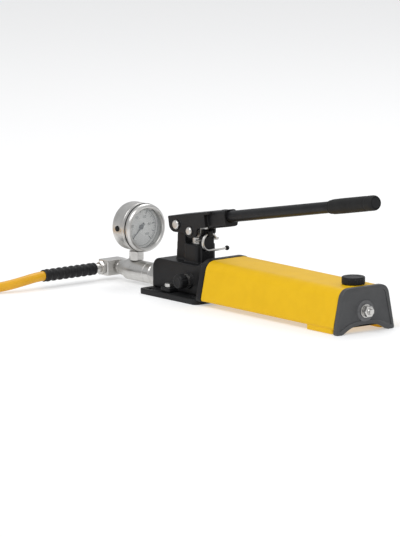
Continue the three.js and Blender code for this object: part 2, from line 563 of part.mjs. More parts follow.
function addOutlet() {
  const group = subassembly(0, 0, OUTLET_Z);
  const bore = (from, length) => rod(ADAPTER.bore, length, "-x", [from, 0, 0], 16);
  const fitting = join(
    hexagon(27, 12, "-x", [BASE.front - GAP, 0, 0]),
    rod(8.7, 20, "-x", [-54, 0, 0]),
  );
  piece(group, "outlet_fitting", cut(fitting, bore(-50, 60)), STEEL);

  const { front, gaugeX, shoulder, rear, radius, endRadius } = ADAPTER;
  const length = (x) => front - x;
  const adapter = join(
    hexagon(32, 18, "-x", [front, 0, 0]),
    turned([
      [0, 16], [radius, 16], [radius, length(shoulder) - 2], [radius - 2, length(shoulder)],
      [endRadius, length(shoulder)], [endRadius, length(rear) - 1], [endRadius - 1, length(rear)],
      [0, length(rear)],
    ], "-x", [front, 0, 0], 20),
  );
  const port = rod(6.6, 30, "+z", [gaugeX, 0, 0], 16);
  const flat = block([gaugeX - 14, gaugeX + 14], [-20, 20], [16.8, 20]);
  piece(group, "gauge_adapter", cut(adapter, bore(-80, 120), port, flat), STEEL);

  const { x, half, outlet } = ELBOW;
  const bodyShape = box2d([x - half, x + half], [-outlet, half], 2.5);
  const elbow = join(
    slab(bodyShape, "xy", [-half, half], 3),
    rod(10, 10, "-x", [rear - GAP, 0, 0]),
  );
  const downstream = rod(ADAPTER.bore, 40, "-y", [x, 0, 0], 16);
  piece(group, "elbow", cut(elbow, bore(-180, 26), downstream), STEEL);
}

// ---- pressure gauge, its dial facing +X ---------------------------------------------------------

function addGauge() {
  const group = subassembly(ADAPTER.gaugeX, 0, GAUGE.z);
  const { radius, back, front } = GAUGE;
  const shell = turned([
    [0, back], [radius - 9, back], [radius - 3, back + 1.5], [radius - 0.6, back + 5], [radius, back + 9],
    [radius, front], [radius - 3.5, front], [radius - 3.5, back + 4], [0, back + 4],
  ], "+x", [0, 0, 0], 28);
  const plugHole = rod(4.9, 12, "-y", [0, -34, 0], 16);
  const stemHole = rod(6.6, 12, "+z", [0, 0, -46], 16);
  piece(group, "gauge_case", cut(shell, plugHole, stemHole), STEEL);
  const fillPlug = turned([[0, 0], [4.6, 0], [4.6, 6.4], [0, 7.2]], "-y", [0, -35, 0]);
  piece(group, "gauge_case_plug", fillPlug, RUBBER);

  const collarTop = -radius - GAP - 0.4;
  const adapterTop = OUTLET_Z + 16.8 - GAUGE.z;
  const stem = join(
    hexagon(22, collarTop - adapterTop - GAP, "+z", [0, 0, adapterTop + GAP]),
    rod(6.3, 8, "+z", [0, 0, collarTop - 0.5], 16),
    rod(6.3, 8, "+z", [0, 0, adapterTop - 7], 16),
  );
  piece(group, "gauge_stem", cut(stem, rod(2, 30, "+z", [0, 0, adapterTop - 8], 8)), STEEL);

  const tube = [];
  for (let degrees = -80; degrees <= 190; degrees += 27) {
    const angle = THREE.MathUtils.degToRad(degrees);
    tube.push([-6, 25 * Math.cos(angle), 25 * Math.sin(angle)]);
  }
  piece(group, "bourdon_tube", swept(tube, 3, 6, 14), STEEL);

  piece(group, "gauge_gasket", ring(radius + 0.5, radius - 3.2, 2, "+x", [front + GAP, 0, 0], 28), RUBBER);
  const bezel = turned([
    [36.4, 0], [radius, 0], [radius, 4], [37, 8.4], [32, 8.4], [32, 4], [36.4, 4], [36.4, 0],
  ], "+x", [front + 2 + 2 * GAP, 0, 0], 28);
  piece(group, "gauge_bezel", bezel, STEEL);
  piece(group, "gauge_window", rod(36, 3, "+x", [front + 2.9, 0, 0], 28), GLASS);
  const dial = cut(rod(35.5, 1.2, "+x", [10, 0, 0], 28), rod(1.9, 4, "+x", [9, 0, 0], 8));
  piece(group, "gauge_dial", dial, DIAL_WHITE);

  const blade = outline([[-3, -8], [3, -8], [1.6, 0], [0.5, 27], [-0.5, 27], [-1.6, 0]]);
  const pointer = join(
    slab(blade, "yz", [13, 14]),
    rod(4, 2.5, "+x", [12.4, 0, 0], 16),
    rod(1.3, 14, "+x", [0, 0, 0], 8),
  );
  const needle = new THREE.Group();
  needle.rotation.x = THREE.MathUtils.degToRad(135);
  group.add(needle);
  piece(needle, "gauge_pointer", pointer, BLACK_PLASTIC);
}

// ---- hose ends, made along the hose from its steel end ------------------------------------------

/** A ribbed sleeve that keeps the hose from kinking. */
function restrictor(from, axis, at) {
  const { length, ribs, crest, root, bore } = RESTRICTOR;
  const pitch = (length - 6) / ribs;
  const profile = [[bore, 0], [root, 0], [crest - 0.4, 2.5]];
  for (let i = 0; i < ribs; i += 1) {
    const start = 3 + i * pitch;
    profile.push([crest, start + 0.25 * pitch], [crest, start + 0.55 * pitch], [root, start + 0.9 * pitch]);
  }
  profile.push([crest, length - 2.5], [crest - 0.5, length], [bore, length], [bore, 0]);
  return turned(profile.map(([radius, height]) => [radius, height + from]), axis, at, 12);
}

function addHoseEnds() {
  const near = subassembly(ELBOW.x, 0, OUTLET_Z);
  const nutStart = ELBOW.outlet + GAP;
  const nut = cut(hexagon(19, 8, "-y", [0, -nutStart, 0]), rod(4, 20, "-y", [0, -20, 0], 16));
  piece(near, "hose_nut", nut, STEEL);
  const ferruleProfile = [[4, 0], [7.4, 0], [7.4, 6], [6.6, 8.7], [4, 8.7], [4, 0]];
  const ferrule = turned(ferruleProfile, "-y", [0, -nutStart - 8 - GAP, 0], 20);
  piece(near, "hose_ferrule", ferrule, STEEL);
  piece(near, "bend_restrictor", restrictor(-HOSE.start, "-y", [0, 0, 0]), BLACK_PLASTIC);

  const far = subassembly(TAIL.x, TAIL.y, TAIL.z);
  piece(far, "far_bend_restrictor", restrictor(0, "+y", [0, 0, 0]), BLACK_PLASTIC);
  const start = RESTRICTOR.length + GAP;
  piece(far, "far_ferrule", ring(7.6, 4, 8, "+y", [0, start, 0], 20), STEEL);
  const bodyStart = start + 8 + GAP;
  const half = cut(
    join(
      hexagon(22, 13, "+y", [0, bodyStart, 0]),
      rod(11, 26, "+y", [0, bodyStart + 12, 0], 20),
    ),
    rod(4, 60, "+y", [0, bodyStart - 5, 0], 16),
    rod(7, 20, "+y", [0, bodyStart + 22, 0], 24),
  );
  piece(far, "coupler_body", half, STEEL);
  const collar = turned([
    [11.2, 0], [13, 0], [14, 1], [14, 19], [13, 20], [11.2, 20], [11.2, 0],
  ], "+y", [0, bodyStart + 14, 0], 20);
  piece(far, "coupler_collar", collar, STEEL);
}

// ---- hose: out of the restrictor, down to the floor, and away into a coil -----------------------

// The route of the hose's middle to where it reaches the coil.
const HOSE_ROUTE = [
  [-206, -46.6, 21], [-206, -75, 21], [-206, -105, 21], [-206, -135, 21], [-206, -154, 20.8],
  [-206, -175, 19.2], [-207, -197, 16], [-211, -220, 12.2], [-218, -243, 9.4], [-230, -267, 8.4],
  [-248, -291, 8.3], [-271, -309, 8.6], [-298, -319, 10], [-326, -322.6, 13], [-352, -323, 17.5],
];

function addHose() {
  const group = subassembly(0, 0, 0);
  piece(group, "hose", swept(HOSE_ROUTE, HOSE.radius, 8, 20), HOSE_YELLOW);
  const [inner, outer] = [COIL.outer - 2.125 * COIL.pitch - HOSE.radius, COIL.outer + HOSE.radius];
  const bundle = turned([
    [inner + 4, GAP], [outer - 4, GAP], [outer, 4], [outer, COIL.top - 4], [outer - 4, COIL.top],
    [inner + 4, COIL.top], [inner, COIL.top - 4], [inner, 4], [inner + 4, GAP],
  ], "+z", [COIL.x, COIL.y, 0], 20);
  piece(group, "hose_coil", bundle, HOSE_YELLOW);
}

addBase();
addHead();
addReleaseValve();
addReservoir();
addFillerCap();
addPlunger();
addLever();
addLockRing();
addOutlet();
addGauge();
addHoseEnds();
addHose();

export default pump;
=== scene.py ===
"""The looks of the hydraulic hand pump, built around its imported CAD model.

Lengths in this script are millimetres, and a mesh is scaled to metres when it becomes an object.
"""

import json
import math

import bmesh
import bpy
from mathutils import Matrix, Vector


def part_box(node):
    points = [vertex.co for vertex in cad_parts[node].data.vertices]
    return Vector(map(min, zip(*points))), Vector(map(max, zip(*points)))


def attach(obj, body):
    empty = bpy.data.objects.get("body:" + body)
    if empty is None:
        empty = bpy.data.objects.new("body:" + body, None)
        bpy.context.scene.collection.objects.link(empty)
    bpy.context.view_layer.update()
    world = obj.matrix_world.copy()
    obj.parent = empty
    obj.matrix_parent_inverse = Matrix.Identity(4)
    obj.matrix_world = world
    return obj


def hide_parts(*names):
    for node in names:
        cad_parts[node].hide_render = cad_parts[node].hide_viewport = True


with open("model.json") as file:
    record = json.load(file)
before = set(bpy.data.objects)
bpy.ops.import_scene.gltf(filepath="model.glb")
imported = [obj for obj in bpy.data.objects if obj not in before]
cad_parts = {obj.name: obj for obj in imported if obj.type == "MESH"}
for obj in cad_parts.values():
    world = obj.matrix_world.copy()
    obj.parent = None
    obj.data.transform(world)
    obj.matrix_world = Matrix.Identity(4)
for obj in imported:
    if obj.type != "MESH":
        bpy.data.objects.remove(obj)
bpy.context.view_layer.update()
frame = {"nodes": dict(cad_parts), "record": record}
NODES = frame["nodes"]
SLOTS = {row["node"]: row["material_slot"] for row in frame["record"]["subparts"]}
BODIES = {
    node: body
    for body, nodes in frame["record"]["behaviour"]["bodies"].items()
    for node in nodes
}
MM = 0.001

# ---- driving dimensions, millimetres ------------------------------------------------------------

TANK = {"bottom": 8, "top": 73, "wall": 4, "bottom_half": 59, "top_half": 45, "corner": 16}
END_CAP = {"half": 61, "lip": 1.5, "arch_half": 47, "arch_rise": 13, "edge": 1.6}
TIE_ROD_RADIUS = 5
FULCRUM = Vector((-21.4, 0, 116.5))
LEVER_TILT = math.radians(11)
CRANK = 34  # from the fulcrum to the crosshead pin
HALF_SWING = math.radians(22)
CROSSHEAD_PIN_RADIUS = 4.5
PLUNGER = {"low": 11.85, "high": 5.5, "shoulder": 55.5}
TUBE_HEIGHT = 3.8  # of the handle's axis above the fulcrum, square to the lever
TUBE = {"radius": 9.5, "inner": 8.1, "front": 74.5, "rear": 484}
GRIP = {"radius": 12.5, "front": 374, "rear": 489}
LOCK = {"top": 107, "ring": 14, "wire": 2.1, "arc": (20, 270), "leg": 33, "ball": 4}
FILLER = {"neck": 14, "bore": 10, "cap": 19, "flutes": 24, "flute_radius": 1.1}
KNOB = {"radius": 12, "stem": 4.3, "flutes": 8, "flute_radius": 2.2}
GLAND = {"radius": 15, "bore": 12.2, "wiper_bore": 12.05}
MANIFOLD = {"radius": 17.5, "passage": 4, "port": 6.6}
GAUGE = {"case": 40, "inside": 36.5, "window": 36, "dial": 35.5}
DIAL = {"rim": 31, "numbers": 18, "letter": 6.2, "divisions": 50, "raised": 0.1}
COUPLER = {"plug": 7, "passage": 4, "mouth": 11, "sleeve_bore": 11.08, "sleeve": 14, "groove": 13.3}
TIE = {"half_width": 9, "thickness": 1, "slack": 0.3, "corner": 7}  # round the hose's coil

HOSE = {"radius": 8, "length": 3.0}
COIL = {"x": -430, "y": -217.4, "outer": 105.6, "pitch": 16, "turns": 4.25, "low": 8.3, "high": 24.5}
RESTRICTOR = {"length": 107, "ribs": 8, "crest": 10.4, "root": 8.55, "bore": 8.2}

# The route of the hose's middle to where it reaches the coil.
HOSE_ROUTE = [
    (-206, -46.2, 21), (-206, -75, 21), (-206, -105, 21), (-206, -135, 21), (-206, -154, 20.8),
    (-206, -175, 19.2), (-207, -197, 16), (-211, -220, 12.2), (-218, -243, 9.4), (-230, -267, 8.4),
    (-248, -291, 8.3), (-271, -309, 8.6), (-298, -319, 10), (-326, -322.6, 13), (-352, -323, 17.5),
    (-378, -323, 21.6), (-404, -323, 24),
]
# Its route from the coil's west point up into the restrictor at its far end.
TAIL_ROUTE = [
    (-535.6, -200, 8.4), (-535.6, -182, 9.6), (-535.6, -166, 12.4), (-535.6, -150, 14.3),
    (-535.6, -130, 14.4), (-535.6, -100, 14.4), (-535.6, -70, 14.4), (-535.6, -45.2, 14.4),
]

# ---- camera, floor and light --------------------------------------------------------------------

VIEW = {"azimuth": 51, "elevation": 10, "distance": 18.3, "aim": (0.012, 0.0, 0.046), "height": 0.874}


def away_from(azimuth, elevation):
    """The direction from the object to something that looks at it from those angles, in degrees."""
    turn, lift = math.radians(azimuth), math.radians(elevation)
    flat = math.cos(lift)
    return Vector((math.sin(turn) * flat, -math.cos(turn) * flat, math.sin(lift)))


def add_camera():
    data = bpy.data.cameras.new("photo_camera")
    data.sensor_fit = "VERTICAL"
    data.sensor_height = 36
    data.lens = data.sensor_height * VIEW["distance"] / VIEW["height"]
    data.clip_end = 200
    camera = bpy.data.objects.new("photo_camera", data)
    away = away_from(VIEW["azimuth"], VIEW["elevation"])
    camera.location = Vector(VIEW["aim"]) + away * VIEW["distance"]
    camera.rotation_euler = away.to_track_quat("Z", "Y").to_euler()
    bpy.context.collection.objects.link(camera)
    bpy.context.scene.camera = camera


def add_light(name, azimuth, elevation, distance, size, power):
    data = bpy.data.lights.new(name, "AREA")
    data.size = size
    data.energy = power
    light = bpy.data.objects.new(name, data)
    away = away_from(azimuth, elevation)
    light.location = Vector(VIEW["aim"]) + away * distance
    light.rotation_euler = away.to_track_quat("Z", "Y").to_euler()
    bpy.context.collection.objects.link(light)


def add_studio():
    world = bpy.data.worlds.new("studio")
    world.use_nodes = True
    background = world.node_tree.nodes["Background"]
    background.inputs["Color"].default_value = (0.97, 0.98, 1.0, 1)
    background.inputs["Strength"].default_value = 0.58
    bpy.context.scene.world = world
    bpy.context.scene.view_settings.view_transform = "Standard"
    add_light("key", 20, 54, 2.6, 1.5, 30)
    add_light("fill", 95, 28, 3.0, 2.4, 8)
    add_light("rim", 215, 55, 2.8, 1.4, 22)

    data = bpy.data.meshes.new("floor")
    half = 60
    corners = [(-half, -half, 0), (half, -half, 0), (half, half, 0), (-half, half, 0)]
    data.from_pydata(corners, [], [(0, 1, 2, 3)])
    floor = bpy.data.objects.new("floor", data)
    material = bpy.data.materials.new("pale_floor")
    material.use_nodes = True
    shader = material.node_tree.nodes["Principled BSDF"]
    shader.inputs["Base Color"].default_value = (0.6, 0.6, 0.6, 1)
    shader.inputs["Roughness"].default_value = 0.9
    shader.inputs["Emission Color"].default_value = (1, 1, 1, 1)
    shader.inputs["Emission Strength"].default_value = 0.4
    data.materials.append(material)
    bpy.context.collection.objects.link(floor)


# ---- materials ----------------------------------------------------------------------------------


def finish(
    name, colour, shade, rough, grain, depth,
    metallic=0.0, coat=0.0, stretch=(1, 1, 1), worn=None, patch=45, specular=0.5,
):
    """A node material: colour drifts to shade in patches, and grain raises its bumps and roughness.

    rough is the lowest and highest roughness, grain the bumps per metre, depth their height in
    metres, stretch squashes the grain along an axis, and worn is the colour that edges wear to.
    """
    material = bpy.data.materials.new(name)
    material.use_nodes = True
    tree = material.node_tree
    shader = tree.nodes["Principled BSDF"]
    shader.inputs["Metallic"].default_value = metallic
    shader.inputs["Coat Weight"].default_value = coat
    shader.inputs["Coat Roughness"].default_value = 0.12
    shader.inputs["Specular IOR Level"].default_value = specular

    place = tree.nodes.new("ShaderNodeTexCoord")
    squash = tree.nodes.new("ShaderNodeMapping")
    squash.inputs["Scale"].default_value = stretch
    tree.links.new(place.outputs["Object"], squash.inputs["Vector"])

    def noise(scale, detail, source):
        node = tree.nodes.new("ShaderNodeTexNoise")
        node.inputs["Scale"].default_value = scale
        node.inputs["Detail"].default_value = detail
        tree.links.new(source, node.inputs["Vector"])
        return node.outputs["Fac"]

    patches = noise(patch, 3, place.outputs["Object"])
    grains = noise(grain, 4, squash.outputs["Vector"])

    drift = tree.nodes.new("ShaderNodeValToRGB")
    drift.color_ramp.elements[0].position = 0.32
    drift.color_ramp.elements[0].color = (*shade, 1)
    drift.color_ramp.elements[1].position = 0.62
    drift.color_ramp.elements[1].color = (*colour, 1)
    tree.links.new(patches, drift.inputs["Fac"])
    paint = drift.outputs["Color"]

    if worn:
        edge = tree.nodes.new("ShaderNodeNewGeometry")
        rub = tree.nodes.new("ShaderNodeMapRange")
        rub.inputs["From Min"].default_value = 0.53
        rub.inputs["From Max"].default_value = 0.62
        tree.links.new(edge.outputs["Pointiness"], rub.inputs["Value"])
        breakup = tree.nodes.new("ShaderNodeMath")
        breakup.operation = "MULTIPLY"
        tree.links.new(rub.outputs["Result"], breakup.inputs[0])
        tree.links.new(noise(140, 5, place.outputs["Object"]), breakup.inputs[1])
        blend = tree.nodes.new("ShaderNodeMix")
        blend.data_type = "RGBA"
        blend.inputs["B"].default_value = (*worn, 1)
        tree.links.new(breakup.outputs["Value"], blend.inputs["Factor"])
        tree.links.new(paint, blend.inputs["A"])
        paint = blend.outputs["Result"]
    tree.links.new(paint, shader.inputs["Base Color"])

    roughness = tree.nodes.new("ShaderNodeMapRange")
    roughness.inputs["From Min"].default_value = 0.3
    roughness.inputs["From Max"].default_value = 0.7
    roughness.inputs["To Min"].default_value = rough[0]
    roughness.inputs["To Max"].default_value = rough[1]
    tree.links.new(grains, roughness.inputs["Value"])
    tree.links.new(roughness.outputs["Result"], shader.inputs["Roughness"])

    bump = tree.nodes.new("ShaderNodeBump")
    bump.inputs["Distance"].default_value = depth
    bump.inputs["Strength"].default_value = 0.6
    tree.links.new(grains, bump.inputs["Height"])
    tree.links.new(bump.outputs["Normal"], shader.inputs["Normal"])
    return material


def clear_window():
    """Thin clear polycarbonate, a little scuffed."""
    material = finish(
        "gauge_window_clear", (0.9, 0.93, 0.94), (0.86, 0.9, 0.92), rough=(0.03, 0.1), grain=700,
        depth=0.00001,
    )
    material.node_tree.nodes["Principled BSDF"].inputs["Alpha"].default_value = 0.16
    return material


FINISHES = {
    "yellow_reservoir": finish(
        "reservoir_yellow", (0.79, 0.475, 0.007), (0.76, 0.45, 0.006), rough=(0.42, 0.52), grain=900,
        depth=0.00004, coat=0.03, specular=0.16,
    ),
    "black_paint": finish(
        "head_black_paint", (0.012, 0.012, 0.013), (0.008, 0.008, 0.009), rough=(0.34, 0.52), grain=520,
        depth=0.00012, worn=(0.10, 0.10, 0.10), coat=0.03, specular=0.2,
    ),
    "black_plastic": finish(
        "black_nylon", (0.011, 0.011, 0.012), (0.008, 0.008, 0.009), rough=(0.42, 0.6), grain=1400,
        depth=0.00006, worn=(0.05, 0.05, 0.05), specular=0.25,
    ),
    "grey_plastic": finish(
        "end_cap_grey", (0.056, 0.057, 0.059), (0.046, 0.047, 0.049), rough=(0.4, 0.58), grain=1300,
        depth=0.00008, worn=(0.16, 0.16, 0.165),
    ),
    "rubber": finish(
        "black_rubber", (0.012, 0.012, 0.012), (0.008, 0.008, 0.008), rough=(0.55, 0.8), grain=1100,
        depth=0.0001, specular=0.25,
    ),
    "steel": finish(
        "plated_steel", (0.66, 0.65, 0.63), (0.54, 0.53, 0.51), rough=(0.26, 0.42), grain=420,
        depth=0.00003, metallic=1.0, stretch=(6, 1, 1),
    ),
    "dark_steel": finish(
        "blackened_steel", (0.09, 0.09, 0.09), (0.06, 0.06, 0.06), rough=(0.3, 0.5), grain=500,
        depth=0.00004, metallic=0.9,
    ),
    "hose": finish(
        "hose_jacket", (0.74, 0.385, 0.012), (0.67, 0.34, 0.010), rough=(0.36, 0.5), grain=700,
        depth=0.00005, coat=0.06, patch=30, specular=0.35,
    ),
    "dial": finish(
        "dial_white", (0.86, 0.85, 0.82), (0.82, 0.81, 0.78), rough=(0.45, 0.6), grain=900,
        depth=0.00001,
    ),
    "window": clear_window(),
}
PRINT = finish(
    "dial_print", (0.015, 0.015, 0.015), (0.01, 0.01, 0.01), rough=(0.5, 0.6), grain=900, depth=0.00001,
)
STRAP = finish(
    "woven_strap", (0.02, 0.02, 0.022), (0.012, 0.012, 0.013), rough=(0.7, 0.9), grain=2600,
    depth=0.0003, stretch=(1, 1, 0.3),
)

# ---- meshes -------------------------------------------------------------------------------------

# The across, up and along directions of a piece that runs along an axis.
AXES = {
    "+x": ((0, 1, 0), (0, 0, 1), (1, 0, 0)),
    "-x": ((0, -1, 0), (0, 0, 1), (-1, 0, 0)),
    "+y": ((0, 0, 1), (1, 0, 0), (0, 1, 0)),
    "-y": ((0, 0, 1), (-1, 0, 0), (0, -1, 0)),
    "+z": ((0, 1, 0), (-1, 0, 0), (0, 0, 1)),
}
AXES["lever"] = (
    (0, 1, 0),
    (-math.sin(LEVER_TILT), 0, math.cos(LEVER_TILT)),
    (math.cos(LEVER_TILT), 0, math.sin(LEVER_TILT)),
)


def box(node):
    """The lowest and highest corners of a CAD node, in millimetres."""
    low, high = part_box(node)
    return Vector(low) / MM, Vector(high) / MM


def middle(node):
    low, high = box(node)
    return (low + high) / 2


def on_lever(along, across=0.0, up=0.0):
    """A point in the lever's own frame, whose origin is the fulcrum, as a point of the pump."""
    side, rise, run = (Vector(v) for v in AXES["lever"])
    return FULCRUM + run * along + side * across + rise * up


def softened(corners, steps=4, closed=True):
    """Corners of (x, y) or (x, y, radius), with each corner that has a radius rounded."""
    points = []
    count = len(corners)
    for i, (x, y, *rest) in enumerate(corners):
        radius = rest[0] if rest else 0
        corner = Vector((x, y))
        if radius == 0 or (not closed and i in (0, count - 1)):
            points.append((x, y))
            continue
        reach = []
        for k in (i - 1, i + 1):
            edge = Vector(corners[k % count][:2]) - corner
            reach.append(corner + edge.normalized() * min(radius, 0.48 * edge.length))
        for s in range(steps + 1):
            t = s / steps
            point = reach[0] * (1 - t) ** 2 + corner * 2 * t * (1 - t) + reach[1] * t ** 2
            points.append((point.x, point.y))
    return points


def turned(profile, axis, at, segments=64, closed=False):
    """A turned mesh: profile holds (radius, height along the axis), and at is where height 0 lies."""
    across, up, along = (Vector(v) for v in AXES[axis])
    at = Vector(at)
    mesh = bmesh.new()
    rings = []
    for radius, height in profile:
        base = at + along * height
        if radius == 0:
            rings.append([mesh.verts.new(base)])
            continue
        ring = []
        for i in range(segments):
            angle = 2 * math.pi * i / segments
            outwards = across * math.cos(angle) + up * math.sin(angle)
            ring.append(mesh.verts.new(base + outwards * radius))
        rings.append(ring)
    if closed:
        rings.append(rings[0])
    for first, second in zip(rings, rings[1:]):
        for i in range(segments):
            j = (i + 1) % segments
            corners = [
                first[i % len(first)], first[j % len(first)],
                second[j % len(second)], second[i % len(second)],
            ]
            face = list(dict.fromkeys(corners))
            if len(face) > 2:
                mesh.faces.new(face)
    bmesh.ops.recalc_face_normals(mesh, faces=mesh.faces)
    return mesh


def bar(radius, length, axis, at, edge=0.5, segments=64):
    """A round bar with softened ends."""
    profile = [(0, 0), (radius, 0, edge), (radius, length, edge), (0, length)]
    return turned(softened(profile, closed=False), axis, at, segments)


def tube(outer, inner, length, axis, at, edge=0.4, segments=64):
    profile = [(inner, 0, edge), (outer, 0, edge), (outer, length, edge), (inner, length, edge)]
    return turned(softened(profile), axis, at, segments, closed=True)


def slab(outline, plane, low, high):
    """An outline in the plane of two axes, from low to high along the third."""
    first, second = "xyz".index(plane[0]), "xyz".index(plane[1])
    third = 3 - first - second
    mesh = bmesh.new()
    ends = []
    for level in (low, high):
        ring = []
        for x, y in outline:
            point = [0.0, 0.0, 0.0]
            point[first], point[second], point[third] = x, y, level
            ring.append(mesh.verts.new(point))
        ends.append(ring)
        mesh.faces.new(ring)
    count = len(outline)
    for i in range(count):
        j = (i + 1) % count
        mesh.faces.new([ends[0][i], ends[0][j], ends[1][j], ends[1][i]])
    bmesh.ops.recalc_face_normals(mesh, faces=mesh.faces)
    return mesh


def rectangle(x0, x1, y0, y1, radius, steps=6):
    return softened([(x0, y0, radius), (x1, y0, radius), (x1, y1, radius), (x0, y1, radius)], steps)


def evaluated(mesh, *modifiers):
    """The mesh after modifiers, each a type and its settings."""
    objects = []

    def temporary(source):
        data = bpy.data.meshes.new("temporary")
        source.to_mesh(data)
        source.free()
        thing = bpy.data.objects.new("temporary", data)
        bpy.context.collection.objects.link(thing)
        objects.append(thing)
        return thing

    target = temporary(mesh)
    for kind, settings in modifiers:
        modifier = target.modifiers.new(kind, kind)
        for key, value in settings.items():
            setattr(modifier, key, temporary(value) if isinstance(value, bmesh.types.BMesh) else value)
    result = bmesh.new()
    result.from_object(target, bpy.context.evaluated_depsgraph_get())
    for thing in objects:
        data = thing.data
        bpy.data.objects.remove(thing)
        bpy.data.meshes.remove(data)
    return result


def combined(mesh, operation, *tools):
    """The mesh joined with, cut by or kept inside the tools: UNION, DIFFERENCE or INTERSECT."""
    steps = [("BOOLEAN", {"operation": operation, "solver": "EXACT", "object": tool}) for tool in tools]
    return evaluated(mesh, *steps)


def bevelled(mesh, width, segments=3):
    settings = {
        "width": width, "segments": segments, "limit_method": "ANGLE", "angle_limit": math.radians(40),
    }
    return evaluated(mesh, ("BEVEL", settings))


def hexagon(across_flats, length, axis, at, chamfer=0.9):
    """A hexagon bar whose corners are turned off at both ends, as a nut's are."""
    corner = across_flats / 2 / math.cos(math.pi / 6)
    blank = turned([(0, 0), (corner, 0), (corner, length), (0, length)], axis, at, 6)
    flat = across_flats / 2 * 0.97
    limit = [(0, -0.01), (flat, -0.01), (corner + 0.2, chamfer), (corner + 0.2, length - chamfer),
             (flat, length + 0.01), (0, length + 0.01)]
    return combined(blank, "INTERSECT", turned(limit, axis, at))


def from_cad(node):
    """A CAD node's mesh in millimetres."""
    mesh = bmesh.new()
    mesh.from_mesh(NODES[node].data)
    bmesh.ops.scale(mesh, vec=(1 / MM,) * 3, verts=mesh.verts)
    return mesh


def cast(node, voxel, passes, tilt=0.0):
    """A CAD node's shape with every edge softened, as a casting or a moulding has it.

    The mesh is laid level by tilt while it is remeshed, so a leaning part keeps flat faces.
    """
    mesh = from_cad(node)
    bmesh.ops.rotate(mesh, cent=FULCRUM, matrix=Matrix.Rotation(tilt, 3, "Y"), verts=mesh.verts)
    mesh = evaluated(
        mesh,
        ("REMESH", {"mode": "VOXEL", "voxel_size": voxel}),
        ("SMOOTH", {"factor": 0.5, "iterations": passes}),
    )
    bmesh.ops.rotate(mesh, cent=FULCRUM, matrix=Matrix.Rotation(-tilt, 3, "Y"), verts=mesh.verts)
    return mesh


def edged(node, width=0.2):
    """A CAD node's shape with its edges broken, as a pressing or a machined piece has it."""
    return bevelled(from_cad(node), width, 2)


def swept(name, points, radius, resolution=6):
    """A Blender curve of one open spline with a round section, its points in millimetres."""
    data = bpy.data.curves.new(name, "CURVE")
    data.dimensions = "3D"
    data.bevel_depth = radius * MM
    data.bevel_resolution = resolution
    data.use_fill_caps = True
    spline = data.splines.new("POLY")
    spline.points.add(len(points) - 1)
    for point, place in zip(spline.points, points):
        point.co = (*(Vector(place) * MM), 1)
    spline.use_smooth = True
    piece = bpy.data.objects.new(name, data)
    bpy.context.collection.objects.link(piece)
    return piece


def swept_mesh(points, radius, resolution=5):
    """The same bar as a mesh in millimetres."""
    piece = swept("temporary", points, radius, resolution)
    data = bpy.data.meshes.new_from_object(piece.evaluated_get(bpy.context.evaluated_depsgraph_get()))
    mesh = bmesh.new()
    mesh.from_mesh(data)
    bmesh.ops.scale(mesh, vec=(1 / MM,) * 3, verts=mesh.verts)
    bmesh.ops.remove_doubles(mesh, verts=mesh.verts, dist=0.001)
    bpy.data.objects.remove(piece)
    bpy.data.meshes.remove(data)
    return mesh


def add(name, mesh, node, *others, material=None, stands_for=True, sharp=38):
    """Makes the mesh a piece that rides with a CAD node, and stands for it and the others."""
    bmesh.ops.scale(mesh, vec=(MM,) * 3, verts=mesh.verts)
    data = bpy.data.meshes.new(name)
    mesh.to_mesh(data)
    mesh.free()
    data.shade_smooth()
    data.set_sharp_from_angle(angle=math.radians(sharp))
    data.materials.append(material or FINISHES[SLOTS[node]])
    piece = bpy.data.objects.new(name, data)
    bpy.context.collection.objects.link(piece)
    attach(piece, BODIES[node])
    if stands_for:
        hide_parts(node, *others)
    return piece


# ---- hose ---------------------------------------------------------------------------------------


def smooth_route(points, spacing=4.0):
    """Points along a smooth curve through the given ones."""
    points = [Vector(p) for p in points]
    padded = [points[0] * 2 - points[1], *points, points[-1] * 2 - points[-2]]
    route = []
    for a, b, c, d in zip(padded, padded[1:], padded[2:], padded[3:]):
        steps = max(1, round((c - b).length / spacing))
        for i in range(steps):
            t = i / steps
            square = (2 * a - 5 * b + 4 * c - d) * t ** 2
            cube = (3 * b - a - 3 * c + d) * t ** 3
            route.append(0.5 * (2 * b + (c - a) * t + square + cube))
    route.append(points[-1])
    return route


def coil_points(per_turn=72):
    """The coil's turns: inwards over the top layer, down at the inside, and outwards underneath."""
    half = COIL["turns"] / 2
    points = []
    total = round(COIL["turns"] * per_turn)
    for i in range(total + 1):
        turn = i / per_turn
        radius = COIL["outer"] - COIL["pitch"] * (half - abs(turn - half))
        fall = min(1, max(0, (turn - half) / 0.36 + 0.5))
        ease = fall * fall * (3 - 2 * fall)
        height = COIL["high"] + (COIL["low"] - COIL["high"]) * ease
        angle = math.radians(-90) - 2 * math.pi * turn
        points.append((COIL["x"] + radius * math.cos(angle), COIL["y"] + radius * math.sin(angle), height))
    return points


def ribbed_sleeve(axis, at):
    """A row of rounded ribs on a sleeve, as a bend restrictor has."""
    length, ribs = RESTRICTOR["length"], RESTRICTOR["ribs"]
    crest, root, bore = RESTRICTOR["crest"], RESTRICTOR["root"], RESTRICTOR["bore"]
    pitch = (length - 6) / ribs
    outside = [(bore, 0), (crest - 1, 0), (crest - 0.4, 0.6), (crest - 0.4, 2.4)]
    for i in range(ribs):
        first = 3 + i * pitch
        for s in range(9):
            t = s / 8
            swell = (crest - root) * math.sin(math.pi * t) ** 0.7
            outside.append((root + swell, first + (0.14 + 0.8 * t) * pitch))
    outside += [(root, length - 2.6), (crest - 0.6, length - 2.2), (crest - 0.6, length - 0.5),
                (crest - 1.1, length), (bore, length)]
    return turned(outside, axis, at, 56, closed=True)


